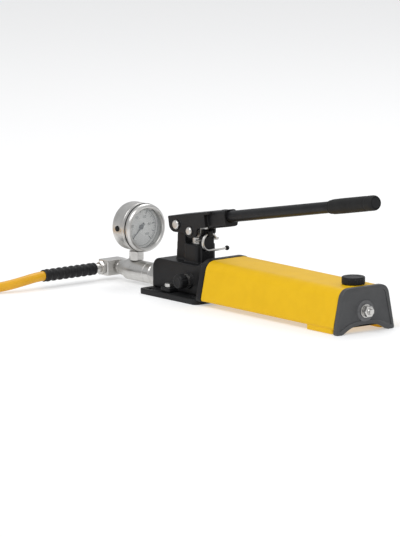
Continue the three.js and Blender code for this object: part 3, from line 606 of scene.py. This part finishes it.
def strap_round_coil(name, degrees):
    """A woven tie round the whole bundle of the coil, at an angle round it."""
    angle = math.radians(degrees)
    spoke = Vector((math.cos(angle), math.sin(angle)))
    bundle = []
    for x, y, z in coil_points():
        place = Vector((x - COIL["x"], y - COIL["y"]))
        if place.normalized().dot(spoke) > math.cos(math.radians(8)):
            bundle.append((place.length, z))
    reach = HOSE["radius"] + TIE["slack"]
    inner = min(radius for radius, z in bundle) - reach
    outer = max(radius for radius, z in bundle) + reach
    top = max(z for radius, z in bundle) + reach
    thick, half, corner = TIE["thickness"], TIE["half_width"], TIE["corner"]
    loop = rectangle(inner, outer, 0.28, top, corner)
    skin = rectangle(inner - thick, outer + thick, 0.03, top + thick, corner + thick)
    band = combined(slab(skin, "xz", -half, half), "DIFFERENCE", slab(loop, "xz", -half - 3, half + 3))
    bmesh.ops.rotate(band, cent=(0, 0, 0), matrix=Matrix.Rotation(angle, 3, "Z"), verts=band.verts)
    bmesh.ops.translate(band, vec=(COIL["x"], COIL["y"], 0), verts=band.verts)
    return add(name, band, "hose_coil", material=STRAP, stands_for=False)


def add_hose():
    points = [*smooth_route(HOSE_ROUTE)[:-1], *coil_points(), *smooth_route(TAIL_ROUTE)]
    hose = swept("hose_line", points, HOSE["radius"], 8)
    hose.data.materials.append(FINISHES["hose"])
    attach(hose, "pump_body")
    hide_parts("hose", "hose_coil")

    low, high = box("hose_ferrule")
    near = middle("hose_ferrule")
    length = high.y - low.y
    bore = COUPLER["passage"]
    profile = softened([(bore, 0), (7.4, 0, 0.5), (7.4, length * 0.7, 0.6), (6.6, length), (bore, length)])
    crimped = turned(profile, "-y", (near.x, high.y, near.z), closed=True)
    ferrule = add("near_ferrule", crimped, "hose_ferrule")

    low, high = box("bend_restrictor")
    near_sleeve = add(
        "near_ribbed_sleeve", ribbed_sleeve("-y", (near.x, high.y, near.z)), "bend_restrictor",
    )
    far = middle("far_bend_restrictor")
    low, high = box("far_bend_restrictor")
    far_sleeve = add(
        "far_ribbed_sleeve", ribbed_sleeve("+y", (far.x, low.y, far.z)), "far_bend_restrictor",
    )
    low, high = box("far_ferrule")
    crimped = tube(7.6, bore, high.y - low.y, "+y", (far.x, low.y, far.z), 0.8)
    far_ferrule = add("far_hose_ferrule", crimped, "far_ferrule")
    low, high = box("coupler_body")
    start = (far.x, low.y, far.z)
    plug, mouth = COUPLER["plug"], COUPLER["mouth"]
    barrel = [(plug, 38, 0.5), (plug, 16), (bore, 16), (bore, 11), (mouth, 11), (mouth, 38, 0.6)]
    passage = bar(bore, 40, "+y", (far.x, low.y - 5, far.z))
    body = combined(
        combined(hexagon(22, 13, "+y", start), "DIFFERENCE", passage),
        "UNION", turned(softened(barrel), "+y", start, closed=True),
    )
    coupler = add("coupler_half", body, "coupler_body")
    low, high = box("coupler_collar")
    inner, outer, deep = COUPLER["sleeve_bore"], COUPLER["sleeve"], COUPLER["groove"]
    grooves = [(inner, 0, 0.3), (13.2, 0, 0.6), (outer, 1.2, 0.4), (outer, 4), (deep, 4.5), (deep, 5.5)]
    grooves += [(outer, 6), (outer, 8), (deep, 8.5), (deep, 9.5), (outer, 10), (outer, 19, 0.4)]
    grooves += [(13.2, 20, 0.4), (inner, 20, 0.3)]
    collar = add(
        "coupler_sleeve_knurled", turned(softened(grooves), "+y", (far.x, low.y, far.z), closed=True),
        "coupler_collar",
    )
    straps = [strap_round_coil(f"coil_strap_{i + 1}", angle) for i, angle in enumerate((20, 140, 255))]


# ---- reservoir ----------------------------------------------------------------------------------


def tank_section(inset, steps=10):
    """The reservoir's section across the pump, moved inwards all round by inset."""
    lean = (TANK["bottom_half"] - TANK["top_half"]) / (TANK["top"] - TANK["bottom"])
    sideways = inset * math.hypot(1, lean)
    low, high = TANK["bottom"] + inset, TANK["top"] - inset
    bottom, top = (
        TANK["bottom_half"] - lean * (z - TANK["bottom"]) - sideways for z in (low, high)
    )
    corner = TANK["corner"] - inset
    return softened([(-bottom, low, 6), (bottom, low, 6), (top, high, corner), (-top, high, corner)], steps)


def add_reservoir():
    low, high = box("reservoir")
    cap = middle("filler_cap")
    shell = combined(
        slab(tank_section(0), "yz", low.x, high.x), "DIFFERENCE",
        slab(tank_section(TANK["wall"]), "yz", low.x - 1, high.x + 1),
    )
    feet = []
    for way in (-1, 1):
        edges = sorted((way * 42, way * 57))
        feet.append(slab(rectangle(352, 418, *edges, 5), "xy", low.z, TANK["bottom"] + 1.2))
    radius = FILLER["neck"]
    neck = bar(radius, high.z - 70.5, "+z", (cap.x, 0, 70.5), 0.4)
    hole = bar(FILLER["bore"], 40, "+z", (cap.x, 0, 62), 0.1)
    lip = softened([(radius, 0), (21.5, 0), (20, 1.1, 0.5), (radius, 1.5)])
    boss = turned(lip, "+z", (cap.x, 0, TANK["top"] - 0.1), closed=True)
    shell = combined(combined(shell, "UNION", neck, boss, *feet), "DIFFERENCE", hole)
    add("reservoir_shell", shell, "reservoir", sharp=30)

    for name, node in (("front_seal", "front_gasket"), ("rear_seal", "rear_gasket")):
        low, high = box(node)
        rim = combined(
            slab(tank_section(0.4), "yz", low.x, high.x), "DIFFERENCE",
            slab(tank_section(TANK["wall"]), "yz", low.x - 1, high.x + 1),
        )
        add(name, rim, node)

    low, high = box("front_flange")
    plate = bevelled(slab(tank_section(-1), "yz", low.x, high.x), 0.9)
    holes = [
        bar(TIE_ROD_RADIUS + 0.4, 20, "+x", (low.x - 4, 0, middle("tie_rod").z), 0.1),
        bar(4.4, 20, "+x", (low.x - 4, middle("suction_tube").y, middle("suction_tube").z), 0.1),
    ]
    add("front_clamp_plate", combined(plate, "DIFFERENCE", *holes), "front_flange")


def cap_outline(inset):
    """The rear cap's edge, with an arch between its feet."""
    half, lip = END_CAP["half"] - inset, END_CAP["lip"] - inset
    arch, rise = END_CAP["arch_half"] + inset, END_CAP["arch_rise"] + inset
    top, top_half = TANK["top"] + lip, TANK["top_half"] + lip
    return softened([
        (-half, inset, 5), (-arch, inset, 2), (-arch / 2, rise, 22), (arch / 2, rise, 22), (arch, inset, 2),
        (half, inset, 5), (top_half, top, TANK["corner"] - inset), (-top_half, top, TANK["corner"] - inset),
    ], 10)


def add_end_cap():
    low, high = box("end_cap")
    rod = middle("tie_rod_nut")
    plate = bevelled(slab(cap_outline(0), "yz", low.x, high.x), END_CAP["edge"], 4)
    hollow = bevelled(slab(cap_outline(6.5), "yz", high.x - 1.3, high.x + 4), 0.6, 2)
    swell = softened([(0, 0), (19, 0), (17.5, 1.4, 0.5), (0, 1.4)], closed=False)
    boss = turned(swell, "+x", (high.x - 1.35, rod.y, rod.z))
    plate = combined(combined(plate, "DIFFERENCE", hollow), "UNION", boss)
    hole = bar(TIE_ROD_RADIUS + 0.4, 30, "+x", (low.x - 8, rod.y, rod.z), 0.1)
    add("rear_cap", combined(plate, "DIFFERENCE", hole), "end_cap")

    low, high = box("tie_rod_washer")
    washer = tube(11, TIE_ROD_RADIUS + 0.3, high.x - low.x, "+x", (low.x, rod.y, rod.z), 0.5)
    add("tie_rod_flat_washer", washer, "tie_rod_washer")
    low, high = box("tie_rod_nut")
    nut = combined(
        hexagon(17, high.x - low.x, "+x", (low.x, rod.y, rod.z), 1.2), "DIFFERENCE",
        bar(TIE_ROD_RADIUS + 0.3, 30, "+x", (low.x - 8, rod.y, rod.z), 0.1),
    )
    add("tie_rod_hex_nut", nut, "tie_rod_nut")
    low, high = box("tie_rod")
    length = high.x - low.x
    thread_start = length - 30
    profile = [(0, 0), (TIE_ROD_RADIUS, 0, 0.6), (TIE_ROD_RADIUS, thread_start)]
    for i in range(18):
        base = thread_start + 1.5 * i + 0.4
        profile += [(TIE_ROD_RADIUS - 0.6, base + 0.4), (TIE_ROD_RADIUS, base + 1.0)]
    profile += [(TIE_ROD_RADIUS - 0.8, length), (0, length)]
    bolt = turned(softened(profile, closed=False), "+x", (low.x, rod.y, rod.z), 40)
    add("threaded_tie_rod", bolt, "tie_rod")


def add_filler_cap():
    low, high = box("filler_cap")
    at = (middle("filler_cap").x, 0, 0)
    seal_top = box("filler_cap_gasket")[1].z
    roof = seal_top + 0.3
    radius = FILLER["cap"]
    profile = softened([
        (0, roof), (14.5, roof), (14.5, low.z, 0.3), (18, low.z, 0.5), (radius, low.z + 0.9, 0.6),
        (radius, high.z, 2.2), (12, high.z, 1.5), (10.5, high.z - 1, 1), (0, high.z - 1),
    ], closed=False)
    body = turned(profile, "+z", at, 96)
    flutes = []
    reach = radius + 0.6
    for i in range(FILLER["flutes"]):
        angle = 2 * math.pi * i / FILLER["flutes"]
        foot = (at[0] + reach * math.cos(angle), reach * math.sin(angle), low.z - 1)
        flutes.append(bar(FILLER["flute_radius"], 8.5, "+z", foot, 0.3, 12))
    grip = combined(flutes[0], "UNION", *flutes[1:])
    add("vented_filler_cap", combined(body, "DIFFERENCE", grip), "filler_cap")
    low, high = box("filler_cap_gasket")
    seal = tube(13.7, 10.3, high.z - low.z, "+z", (at[0], 0, low.z), 0.2)
    add("filler_seal_ring", seal, "filler_cap_gasket")


# ---- head ---------------------------------------------------------------------------------------


def add_head():
    bore = middle("plunger").x
    barrels = [
        bar(PLUNGER["low"] + 0.2, 60, "+z", (bore, 0, 48), 0.1, 96),
        bar(PLUNGER["high"] + 0.2, 50, "+z", (bore, 0, 14), 0.1),
    ]
    block = combined(cast("head_casting", 0.9, 5), "DIFFERENCE", *barrels)
    add("head_block", block, "head_casting", sharp=180)
    add("foot_plate", cast("base_plate", 0.9, 3), "base_plate", sharp=180)
    for side in ("left", "right"):
        node = f"base_screw_{side}"
        low, high = box(node)
        centre = middle(node)
        shank = bar(4, 16.5, "+z", (centre.x, centre.y, low.z), 0.4, 32)
        head = hexagon(13, 5.5, "+z", (centre.x, centre.y, high.z - 5.5), 0.8)
        add(f"foot_screw_{side}", combined(shank, "UNION", head), node)

    centre = middle("gland_nut")
    low, high = box("gland_nut")
    gland = tube(GLAND["radius"], GLAND["bore"], high.z - low.z, "+z", (centre.x, 0, low.z), 0.7, 80)
    pits = [bar(1.1, 6, "+z", (centre.x, way * 13.6, high.z - 4), 0.1, 16) for way in (-1, 1)]
    add("gland_ring", combined(gland, "DIFFERENCE", *pits), "gland_nut")

    low, high = box("wiper_seal")
    height = high.z - low.z
    bore = GLAND["wiper_bore"]
    lip = softened([
        (bore, 0), (14.2, 0, 0.3), (14.2, height - 1.6, 0.4), (12.9, height, 0.4), (bore, height - 0.3),
    ])
    add("gland_wiper", turned(lip, "+z", (centre.x, 0, low.z), 80, closed=True), "wiper_seal")

    low, high = box("fulcrum_pin")
    length = high.y - low.y
    pin = [(0, 0), (6.2, 0, 0.5), (7.5, 1.2, 0.5), (7.5, 4, 0.4), (5, 4), (5, length, 0.8), (0, length)]
    at = (FULCRUM.x, low.y, FULCRUM.z)
    add("fulcrum_clevis_pin", turned(softened(pin, closed=False), "+y", at), "fulcrum_pin")
    add("fulcrum_retaining_clip", edged("fulcrum_pin_clip"), "fulcrum_pin_clip")
    low, high = box("handle_stop_pin")
    centre = middle("handle_stop_pin")
    stop = tube(2.5, 1.3, high.y - low.y, "+y", (centre.x, low.y, centre.z), 0.4, 40)
    add("stop_roll_pin", stop, "handle_stop_pin")

    low, high = box("relief_valve_plug")
    centre = middle("relief_valve_plug")
    plug = turned(softened([
        (0, 0), (6.1, 0), (6.1, 14.2), (8.5, 14.4), (8.5, high.y - low.y, 0.9), (0, high.y - low.y),
    ], closed=False), "+y", (centre.x, low.y, centre.z))
    socket = turned([(0, 0), (3.45, 0), (3.45, 8), (0, 8)], "+y", (centre.x, high.y - 4.3, centre.z), 6)
    add("relief_socket_plug", combined(plug, "DIFFERENCE", socket), "relief_valve_plug")


def add_plunger():
    low, high = box("plunger")
    x = middle("plunger").x
    thick, thin, shoulder = PLUNGER["low"], PLUNGER["high"], PLUNGER["shoulder"]
    groove = [(thick, 59, 0.2), (9.8, 59), (9.8, 63), (thick, 63, 0.2)]
    stem = turned(softened([
        (0, low.z), (thin, low.z, 0.8), (thin, shoulder), (thick, shoulder, 0.5), *groove,
        (thick, 99, 0.8), (0, 99),
    ], closed=False), "+z", (x, 0, 0), 96)
    swing_top = CRANK * (1 - math.cos(HALF_SWING)) / 2
    pin_height = FULCRUM.z - CRANK * math.sin(LEVER_TILT)
    play = CROSSHEAD_PIN_RADIUS + 0.3
    eye = bevelled(slab(rectangle(x - 11.5, x + 11.5, 97, high.z, 5), "xz", -8, 8), 0.7)
    reach = swing_top + play
    slot = rectangle(x - reach, x + reach, pin_height - play, pin_height + play, play, 10)
    eye = combined(eye, "DIFFERENCE", slab(slot, "xz", -12, 12))
    add("stepped_plunger", combined(stem, "UNION", eye), "plunger")
    low, high = box("plunger_seal")
    add("plunger_ring_seal", tube(11.8, 10.1, high.z - low.z, "+z", (x, 0, low.z), 0.3), "plunger_seal")


def add_release_valve():
    low, high = box("release_packing_nut")
    centre = middle("release_packing_nut")
    bore = KNOB["stem"]
    nut = combined(
        hexagon(19, high.y - low.y, "-y", (centre.x, high.y, centre.z), 0.9), "DIFFERENCE",
        bar(bore, 20, "-y", (centre.x, high.y + 4, centre.z), 0.1),
    )
    add("packing_nut", nut, "release_packing_nut")
    low, high = box("release_stem")
    length = high.y - low.y
    needle = softened([(0, 0), (1.5, 0, 0.3), (4, 5), (4, length, 0.4), (0, length)], closed=False)
    add("release_needle", turned(needle, "-y", (centre.x, high.y, centre.z), 40), "release_stem")
    low, high = box("release_knob")
    length = high.y - low.y
    radius = KNOB["radius"]
    knob = turned(softened([
        (bore, 0), (10.5, 0, 1), (radius, 1.6, 1), (radius, length - 3, 1.2), (10, length, 1.5),
        (7, length, 0.5), (6, length - 0.8, 0.4), (0, length - 0.8), (0, 14), (bore, 14),
    ]), "-y", (centre.x, high.y, centre.z), 96, closed=True)
    flutes = []
    reach = 13.2  # from the knob's axis to a flute's
    for i in range(KNOB["flutes"]):
        angle = 2 * math.pi * (i + 0.5) / KNOB["flutes"]
        at = (centre.x + reach * math.cos(angle), high.y + 1, centre.z + reach * math.sin(angle))
        flutes.append(bar(KNOB["flute_radius"], 24, "-y", at, 0.4, 24))
    add("release_hand_knob", bevelled(combined(knob, "DIFFERENCE", *flutes), 0.35, 2), "release_knob")


# ---- lever --------------------------------------------------------------------------------------


def add_lever():
    add("lever_beam", cast("handle_beam", 0.7, 4, LEVER_TILT), "handle_beam", sharp=180)
    handle = tube(
        TUBE["radius"], TUBE["inner"], TUBE["rear"] - TUBE["front"], "lever",
        on_lever(TUBE["front"], 0, TUBE_HEIGHT), 0.5,
    )
    add("lever_tube", handle, "handle_tube")
    bore, radius = TUBE["radius"] + 0.2, GRIP["radius"]
    length = GRIP["rear"] - GRIP["front"]
    profile = [(bore, 0, 0.4), (radius - 1.9, 0, 0.8), (radius - 0.9, 3.5, 1.5), (radius - 1.5, 5.5, 1.2),
               (radius - 0.3, 9, 2.5), (radius, 30, 10)]
    profile += [(radius, length - 22, 3), (radius - 0.7, length - 19.5, 1), (radius, length - 17, 1)]
    profile += [(radius, length - 3.5, 3.5), (radius - 2, length, 1), (bore, length, 0.4)]
    grip = turned(softened(profile), "lever", on_lever(GRIP["front"], 0, TUBE_HEIGHT), closed=True)
    add("lever_grip", grip, "handle_grip")
    plug = softened([(0, 0), (9.4, 0, 0.3), (9.4, 4, 1), (7.8, 5, 1), (0, 5.4)], closed=False)
    plug_at = on_lever(TUBE["rear"] + 0.4, 0, TUBE_HEIGHT)
    add("grip_plug", turned(plug, "lever", plug_at), "grip_end_plug")

    add("lever_set_screw", edged("handle_set_screw"), "handle_set_screw")
    add("crosshead_retaining_clip", edged("crosshead_pin_clip"), "crosshead_pin_clip")

    low, high = box("crosshead_pin")
    pin_at = on_lever(CRANK * math.cos(HALF_SWING), 0, -CRANK * math.sin(HALF_SWING))
    shank = CROSSHEAD_PIN_RADIUS
    length = high.y - low.y
    pin = [(0, 0), (5, 0, 1), (7, 2, 1), (7, 4.5, 0.4), (shank, 4.6), (shank, length, 0.8), (0, length)]
    clevis_pin = turned(softened(pin, closed=False), "+y", (pin_at.x, low.y, pin_at.z))
    add("crosshead_clevis_pin", clevis_pin, "crosshead_pin")


# ---- lock ring ----------------------------------------------------------------------------------


def add_lock_ring():
    low, high = box("lock_ring")
    x = (low.x + high.x) / 2
    top, ring, wire = LOCK["top"], LOCK["ring"], LOCK["wire"]
    start, end = LOCK["arc"]
    points = []
    for degrees in range(start, end + 1, 5):
        angle = math.radians(degrees)
        points.append((x, ring * math.cos(angle), top + ring * (math.sin(angle) - 1)))
    points += [(x, 8, top - 2 * ring), (x, 18, top - 2 * ring), (x, LOCK["leg"], top - 2 * ring + 0.5)]
    add("wire_lock_ring", swept_mesh(points, wire, 5), "lock_ring")
    low, high = box("lock_ring_knob")
    centre = middle("lock_ring_knob")
    radius = LOCK["ball"]
    profile = []
    for s in range(17):
        angle = math.pi * s / 16
        profile.append((max(0.0, radius * math.sin(angle)), -radius * math.cos(angle)))
    profile[0], profile[-1] = (0, -radius * 0.85), (0, radius)
    ball = turned(profile, "+y", (centre.x, high.y - radius, centre.z), 40)
    add("lock_knob_ball", ball, "lock_ring_knob")


# ---- outlet -------------------------------------------------------------------------------------


def add_outlet():
    z = middle("gauge_adapter").z
    low, high = box("outlet_fitting")
    fitting = combined(
        hexagon(27, 12, "-x", (low.x + 12, 0, z), 1.1), "UNION", bar(8.7, 20, "-x", (high.x, 0, z), 0.5),
    )
    passage, radius = MANIFOLD["passage"], MANIFOLD["radius"]
    fitting = combined(fitting, "DIFFERENCE", bar(passage, 60, "-x", (high.x + 5, 0, z), 0.1))
    add("outlet_nipple", fitting, "outlet_fitting")

    low, high = box("gauge_adapter")
    length = high.x - low.x
    barrel = softened([
        (0, 15), (15.6, 15), (radius, 17.4, 0.6), (radius, 30, 0.3), (17.1, 30.4), (17.1, 31.6),
        (radius, 32, 0.3), (radius, length - 16.5, 1.2), (13, length - 15, 0.5), (13, length, 1),
        (0, length),
    ], closed=False)
    body = combined(
        hexagon(32, 17, "-x", (high.x, 0, z), 1.3), "UNION", turned(barrel, "-x", (high.x, 0, z), 80),
    )
    stem = middle("gauge_stem")
    flat = slab(rectangle(stem.x - 14, stem.x + 14, -20, 20, 1), "xy", z + 16.8, z + 22)
    port = bar(MANIFOLD["port"], 30, "+z", (stem.x, 0, z), 0.2)
    body = combined(body, "DIFFERENCE", flat, port, bar(passage, 140, "-x", (high.x + 5, 0, z), 0.1))
    add("gauge_manifold", body, "gauge_adapter", sharp=32)

    add("outlet_elbow", cast("elbow", 0.5, 3), "elbow", sharp=180)
    low, high = box("hose_nut")
    centre = middle("hose_nut")
    nut = combined(
        hexagon(19, high.y - low.y, "-y", (centre.x, high.y, centre.z), 0.9), "DIFFERENCE",
        bar(passage, 20, "-y", (centre.x, high.y + 5, centre.z), 0.1),
    )
    add("hose_swivel_nut", nut, "hose_nut")

    low, high = box("gauge_stem")
    flats_low, flats_high = z + 17.1, middle("gauge_case").z - 40.7
    parts = combined(
        hexagon(22, flats_high - flats_low, "+z", (stem.x, 0, flats_low), 1), "UNION",
        bar(6.3, high.z - low.z, "+z", (stem.x, 0, low.z), 0.5),
    )
    parts = combined(parts, "DIFFERENCE", bar(2, 40, "+z", (stem.x, 0, low.z - 5), 0.1, 16))
    add("gauge_socket", parts, "gauge_stem")


# ---- gauge --------------------------------------------------------------------------------------


def dial_place(fraction, radius, x):
    """A place on the dial: fraction runs from 0 at zero pressure to 1 at full scale."""
    centre = middle("gauge_dial")
    angle = math.radians(-135 + 270 * fraction)
    return Vector((x, centre.y + radius * math.sin(angle), centre.z + radius * math.cos(angle)))


# The faces of a block whose corners are counted with the last axis changing fastest.
BLOCK_FACES = ((0, 1, 3, 2), (4, 6, 7, 5), (0, 4, 5, 1), (2, 3, 7, 6), (0, 2, 6, 4), (1, 5, 7, 3))


def add_dial_marks():
    face = box("gauge_dial")[1].x
    rim, raised, divisions = DIAL["rim"], DIAL["raised"], DIAL["divisions"]
    marks = bmesh.new()
    for i in range(divisions + 1):
        fraction = i / divisions
        inner, half = (24, 0.45) if i % 5 == 0 else (27.5, 0.22)
        if i % 10 == 0:
            inner, half = 23, 0.6
        out = dial_place(fraction, rim, 0) - dial_place(fraction, inner, 0)
        side = Vector((1, 0, 0)).cross(out).normalized() * half
        corners = [
            dial_place(fraction, radius, x) + side * way
            for radius in (inner, rim) for way in (-1, 1) for x in (face - raised, face + 0.12)
        ]
        verts = [marks.verts.new(c) for c in corners]
        for ids in BLOCK_FACES:
            marks.faces.new([verts[k] for k in ids])
    bmesh.ops.recalc_face_normals(marks, faces=marks.faces)
    add("dial_ticks", marks, "gauge_dial", material=PRINT, stands_for=False)
    at = (face - raised, 0, middle("gauge_dial").z)
    ring = tube(rim + 0.6, rim + 0.1, 0.22, "+x", at, 0.02, 96)
    add("dial_scale_ring", ring, "gauge_dial", material=PRINT, stands_for=False)

    numbers = bmesh.new()
    for value in range(0, 101, 20):
        font = bpy.data.curves.new("number", "FONT")
        font.body = str(value)
        font.size = DIAL["letter"]
        font.extrude = raised
        font.align_x = "CENTER"
        font.align_y = "CENTER"
        text = bpy.data.objects.new("number", font)
        bpy.context.collection.objects.link(text)
        made = text.evaluated_get(bpy.context.evaluated_depsgraph_get())
        data = bpy.data.meshes.new_from_object(made)
        place = dial_place(value / 100, DIAL["numbers"], face + 0.02)
        for vertex in data.vertices:
            right, up, out = vertex.co
            vertex.co = (place.x + out, place.y + right, place.z + up)
        numbers.from_mesh(data)
        bpy.data.objects.remove(text)
        bpy.data.meshes.remove(data)
    add("dial_numbers", numbers, "gauge_dial", material=PRINT, stands_for=False, sharp=20)


def add_gauge():
    centre = middle("gauge_dial")
    low, high = box("gauge_case")
    at = (low.x, centre.y, centre.z)
    depth = high.x - low.x
    case, inside = GAUGE["case"], GAUGE["inside"]
    shell = turned(softened([
        (0, 0), (26, 0), (31, 0.3, 3), (36, 1.4, 3), (39, 4.5, 2.5), (case, 9, 3), (case, depth - 6, 0.5),
        (39.4, depth - 5.4), (39.4, depth - 4), (case, depth - 3.4, 0.5), (case, depth, 0.4),
        (inside, depth, 0.3), (inside, 4), (0, 4),
    ], closed=False), "+x", at, 112)
    fill = bar(4.9, 12, "-y", (middle("gauge_case_plug").x, centre.y - 34, centre.z), 0.2, 40)
    neck = bar(6.6, 12, "+z", (middle("gauge_stem").x, centre.y, centre.z - 46), 0.2, 40)
    add("gauge_shell", combined(shell, "DIFFERENCE", fill, neck), "gauge_case", sharp=32)

    low, high = box("gauge_case_plug")
    plug = softened([(0, 0), (4.6, 0, 0.3), (4.6, 6.4, 0.6), (0, 7.2)], closed=False)
    plug_at = (middle("gauge_case_plug").x, high.y, centre.z)
    add("gauge_fill_plug", turned(plug, "-y", plug_at, 48), "gauge_case_plug")

    low, high = box("gauge_gasket")
    gasket = tube(40.5, 36.8, high.x - low.x, "+x", (low.x, centre.y, centre.z), 0.5, 112)
    add("gauge_rim_seal", gasket, "gauge_gasket")
    low, high = box("gauge_bezel")
    bezel = turned(softened([
        (36.4, 0, 0.3), (case, 0, 0.4), (case, 3.6, 1.2), (38.6, 6.6, 1.4), (36.4, 8.4, 1),
        (34.5, 8.2, 0.6), (32.4, 6.4, 0.6), (32, 4.1), (36.4, 4.1),
    ]), "+x", (low.x, centre.y, centre.z), 112, closed=True)
    add("gauge_front_ring", bezel, "gauge_bezel", sharp=30)
    low, high = box("gauge_window")
    window = bar(GAUGE["window"], high.x - low.x, "+x", (low.x, centre.y, centre.z), 0.5, 96)
    add("gauge_clear_window", window, "gauge_window")
    low, high = box("gauge_dial")
    plate = tube(GAUGE["dial"], 1.9, high.x - low.x, "+x", (low.x, centre.y, centre.z), 0.1, 96)
    add("gauge_dial_plate", plate, "gauge_dial")
    add_dial_marks()

    low, high = box("gauge_pointer")
    hub = (low.x, centre.y, centre.z)
    spindle = high.x - low.x
    pointer = turned(softened([
        (0, 0), (1.3, 0), (1.3, spindle - 2.5), (4, spindle - 2.5, 0.2), (4, spindle - 0.5, 0.6),
        (0, spindle),
    ], closed=False), "+x", hub, 40)
    edge = [(27, 0.35), (8, 0.9), (0, 1.7), (-8, 2.6)]
    outline = edge + [(along, -half) for along, half in reversed(edge)]
    tip = (dial_place(0, 1, 0) - dial_place(0, 0, 0)).normalized()
    side = Vector((1, 0, 0)).cross(tip)
    blade = bmesh.new()
    ends = []
    for x in (high.x - 1.9, high.x - 1.0):
        pivot = Vector((x, centre.y, centre.z))
        ends.append([blade.verts.new(pivot + tip * along + side * half) for along, half in outline])
        blade.faces.new(ends[-1])
    count = len(ends[0])
    for i in range(count):
        j = (i + 1) % count
        blade.faces.new([ends[0][i], ends[0][j], ends[1][j], ends[1][i]])
    bmesh.ops.recalc_face_normals(blade, faces=blade.faces)
    add("pressure_pointer", combined(pointer, "UNION", blade), "gauge_pointer")


def finish_cad_nodes():
    """Gives every CAD node, whether it shows or lies inside, the finish of its slot."""
    for node, piece in NODES.items():
        piece.data.materials.clear()
        piece.data.materials.append(FINISHES[SLOTS[node]])


add_camera()
add_studio()
add_hose()
add_reservoir()
add_end_cap()
add_filler_cap()
add_head()
add_plunger()
add_release_valve()
add_lever()
add_lock_ring()
add_outlet()
add_gauge()
finish_cad_nodes()
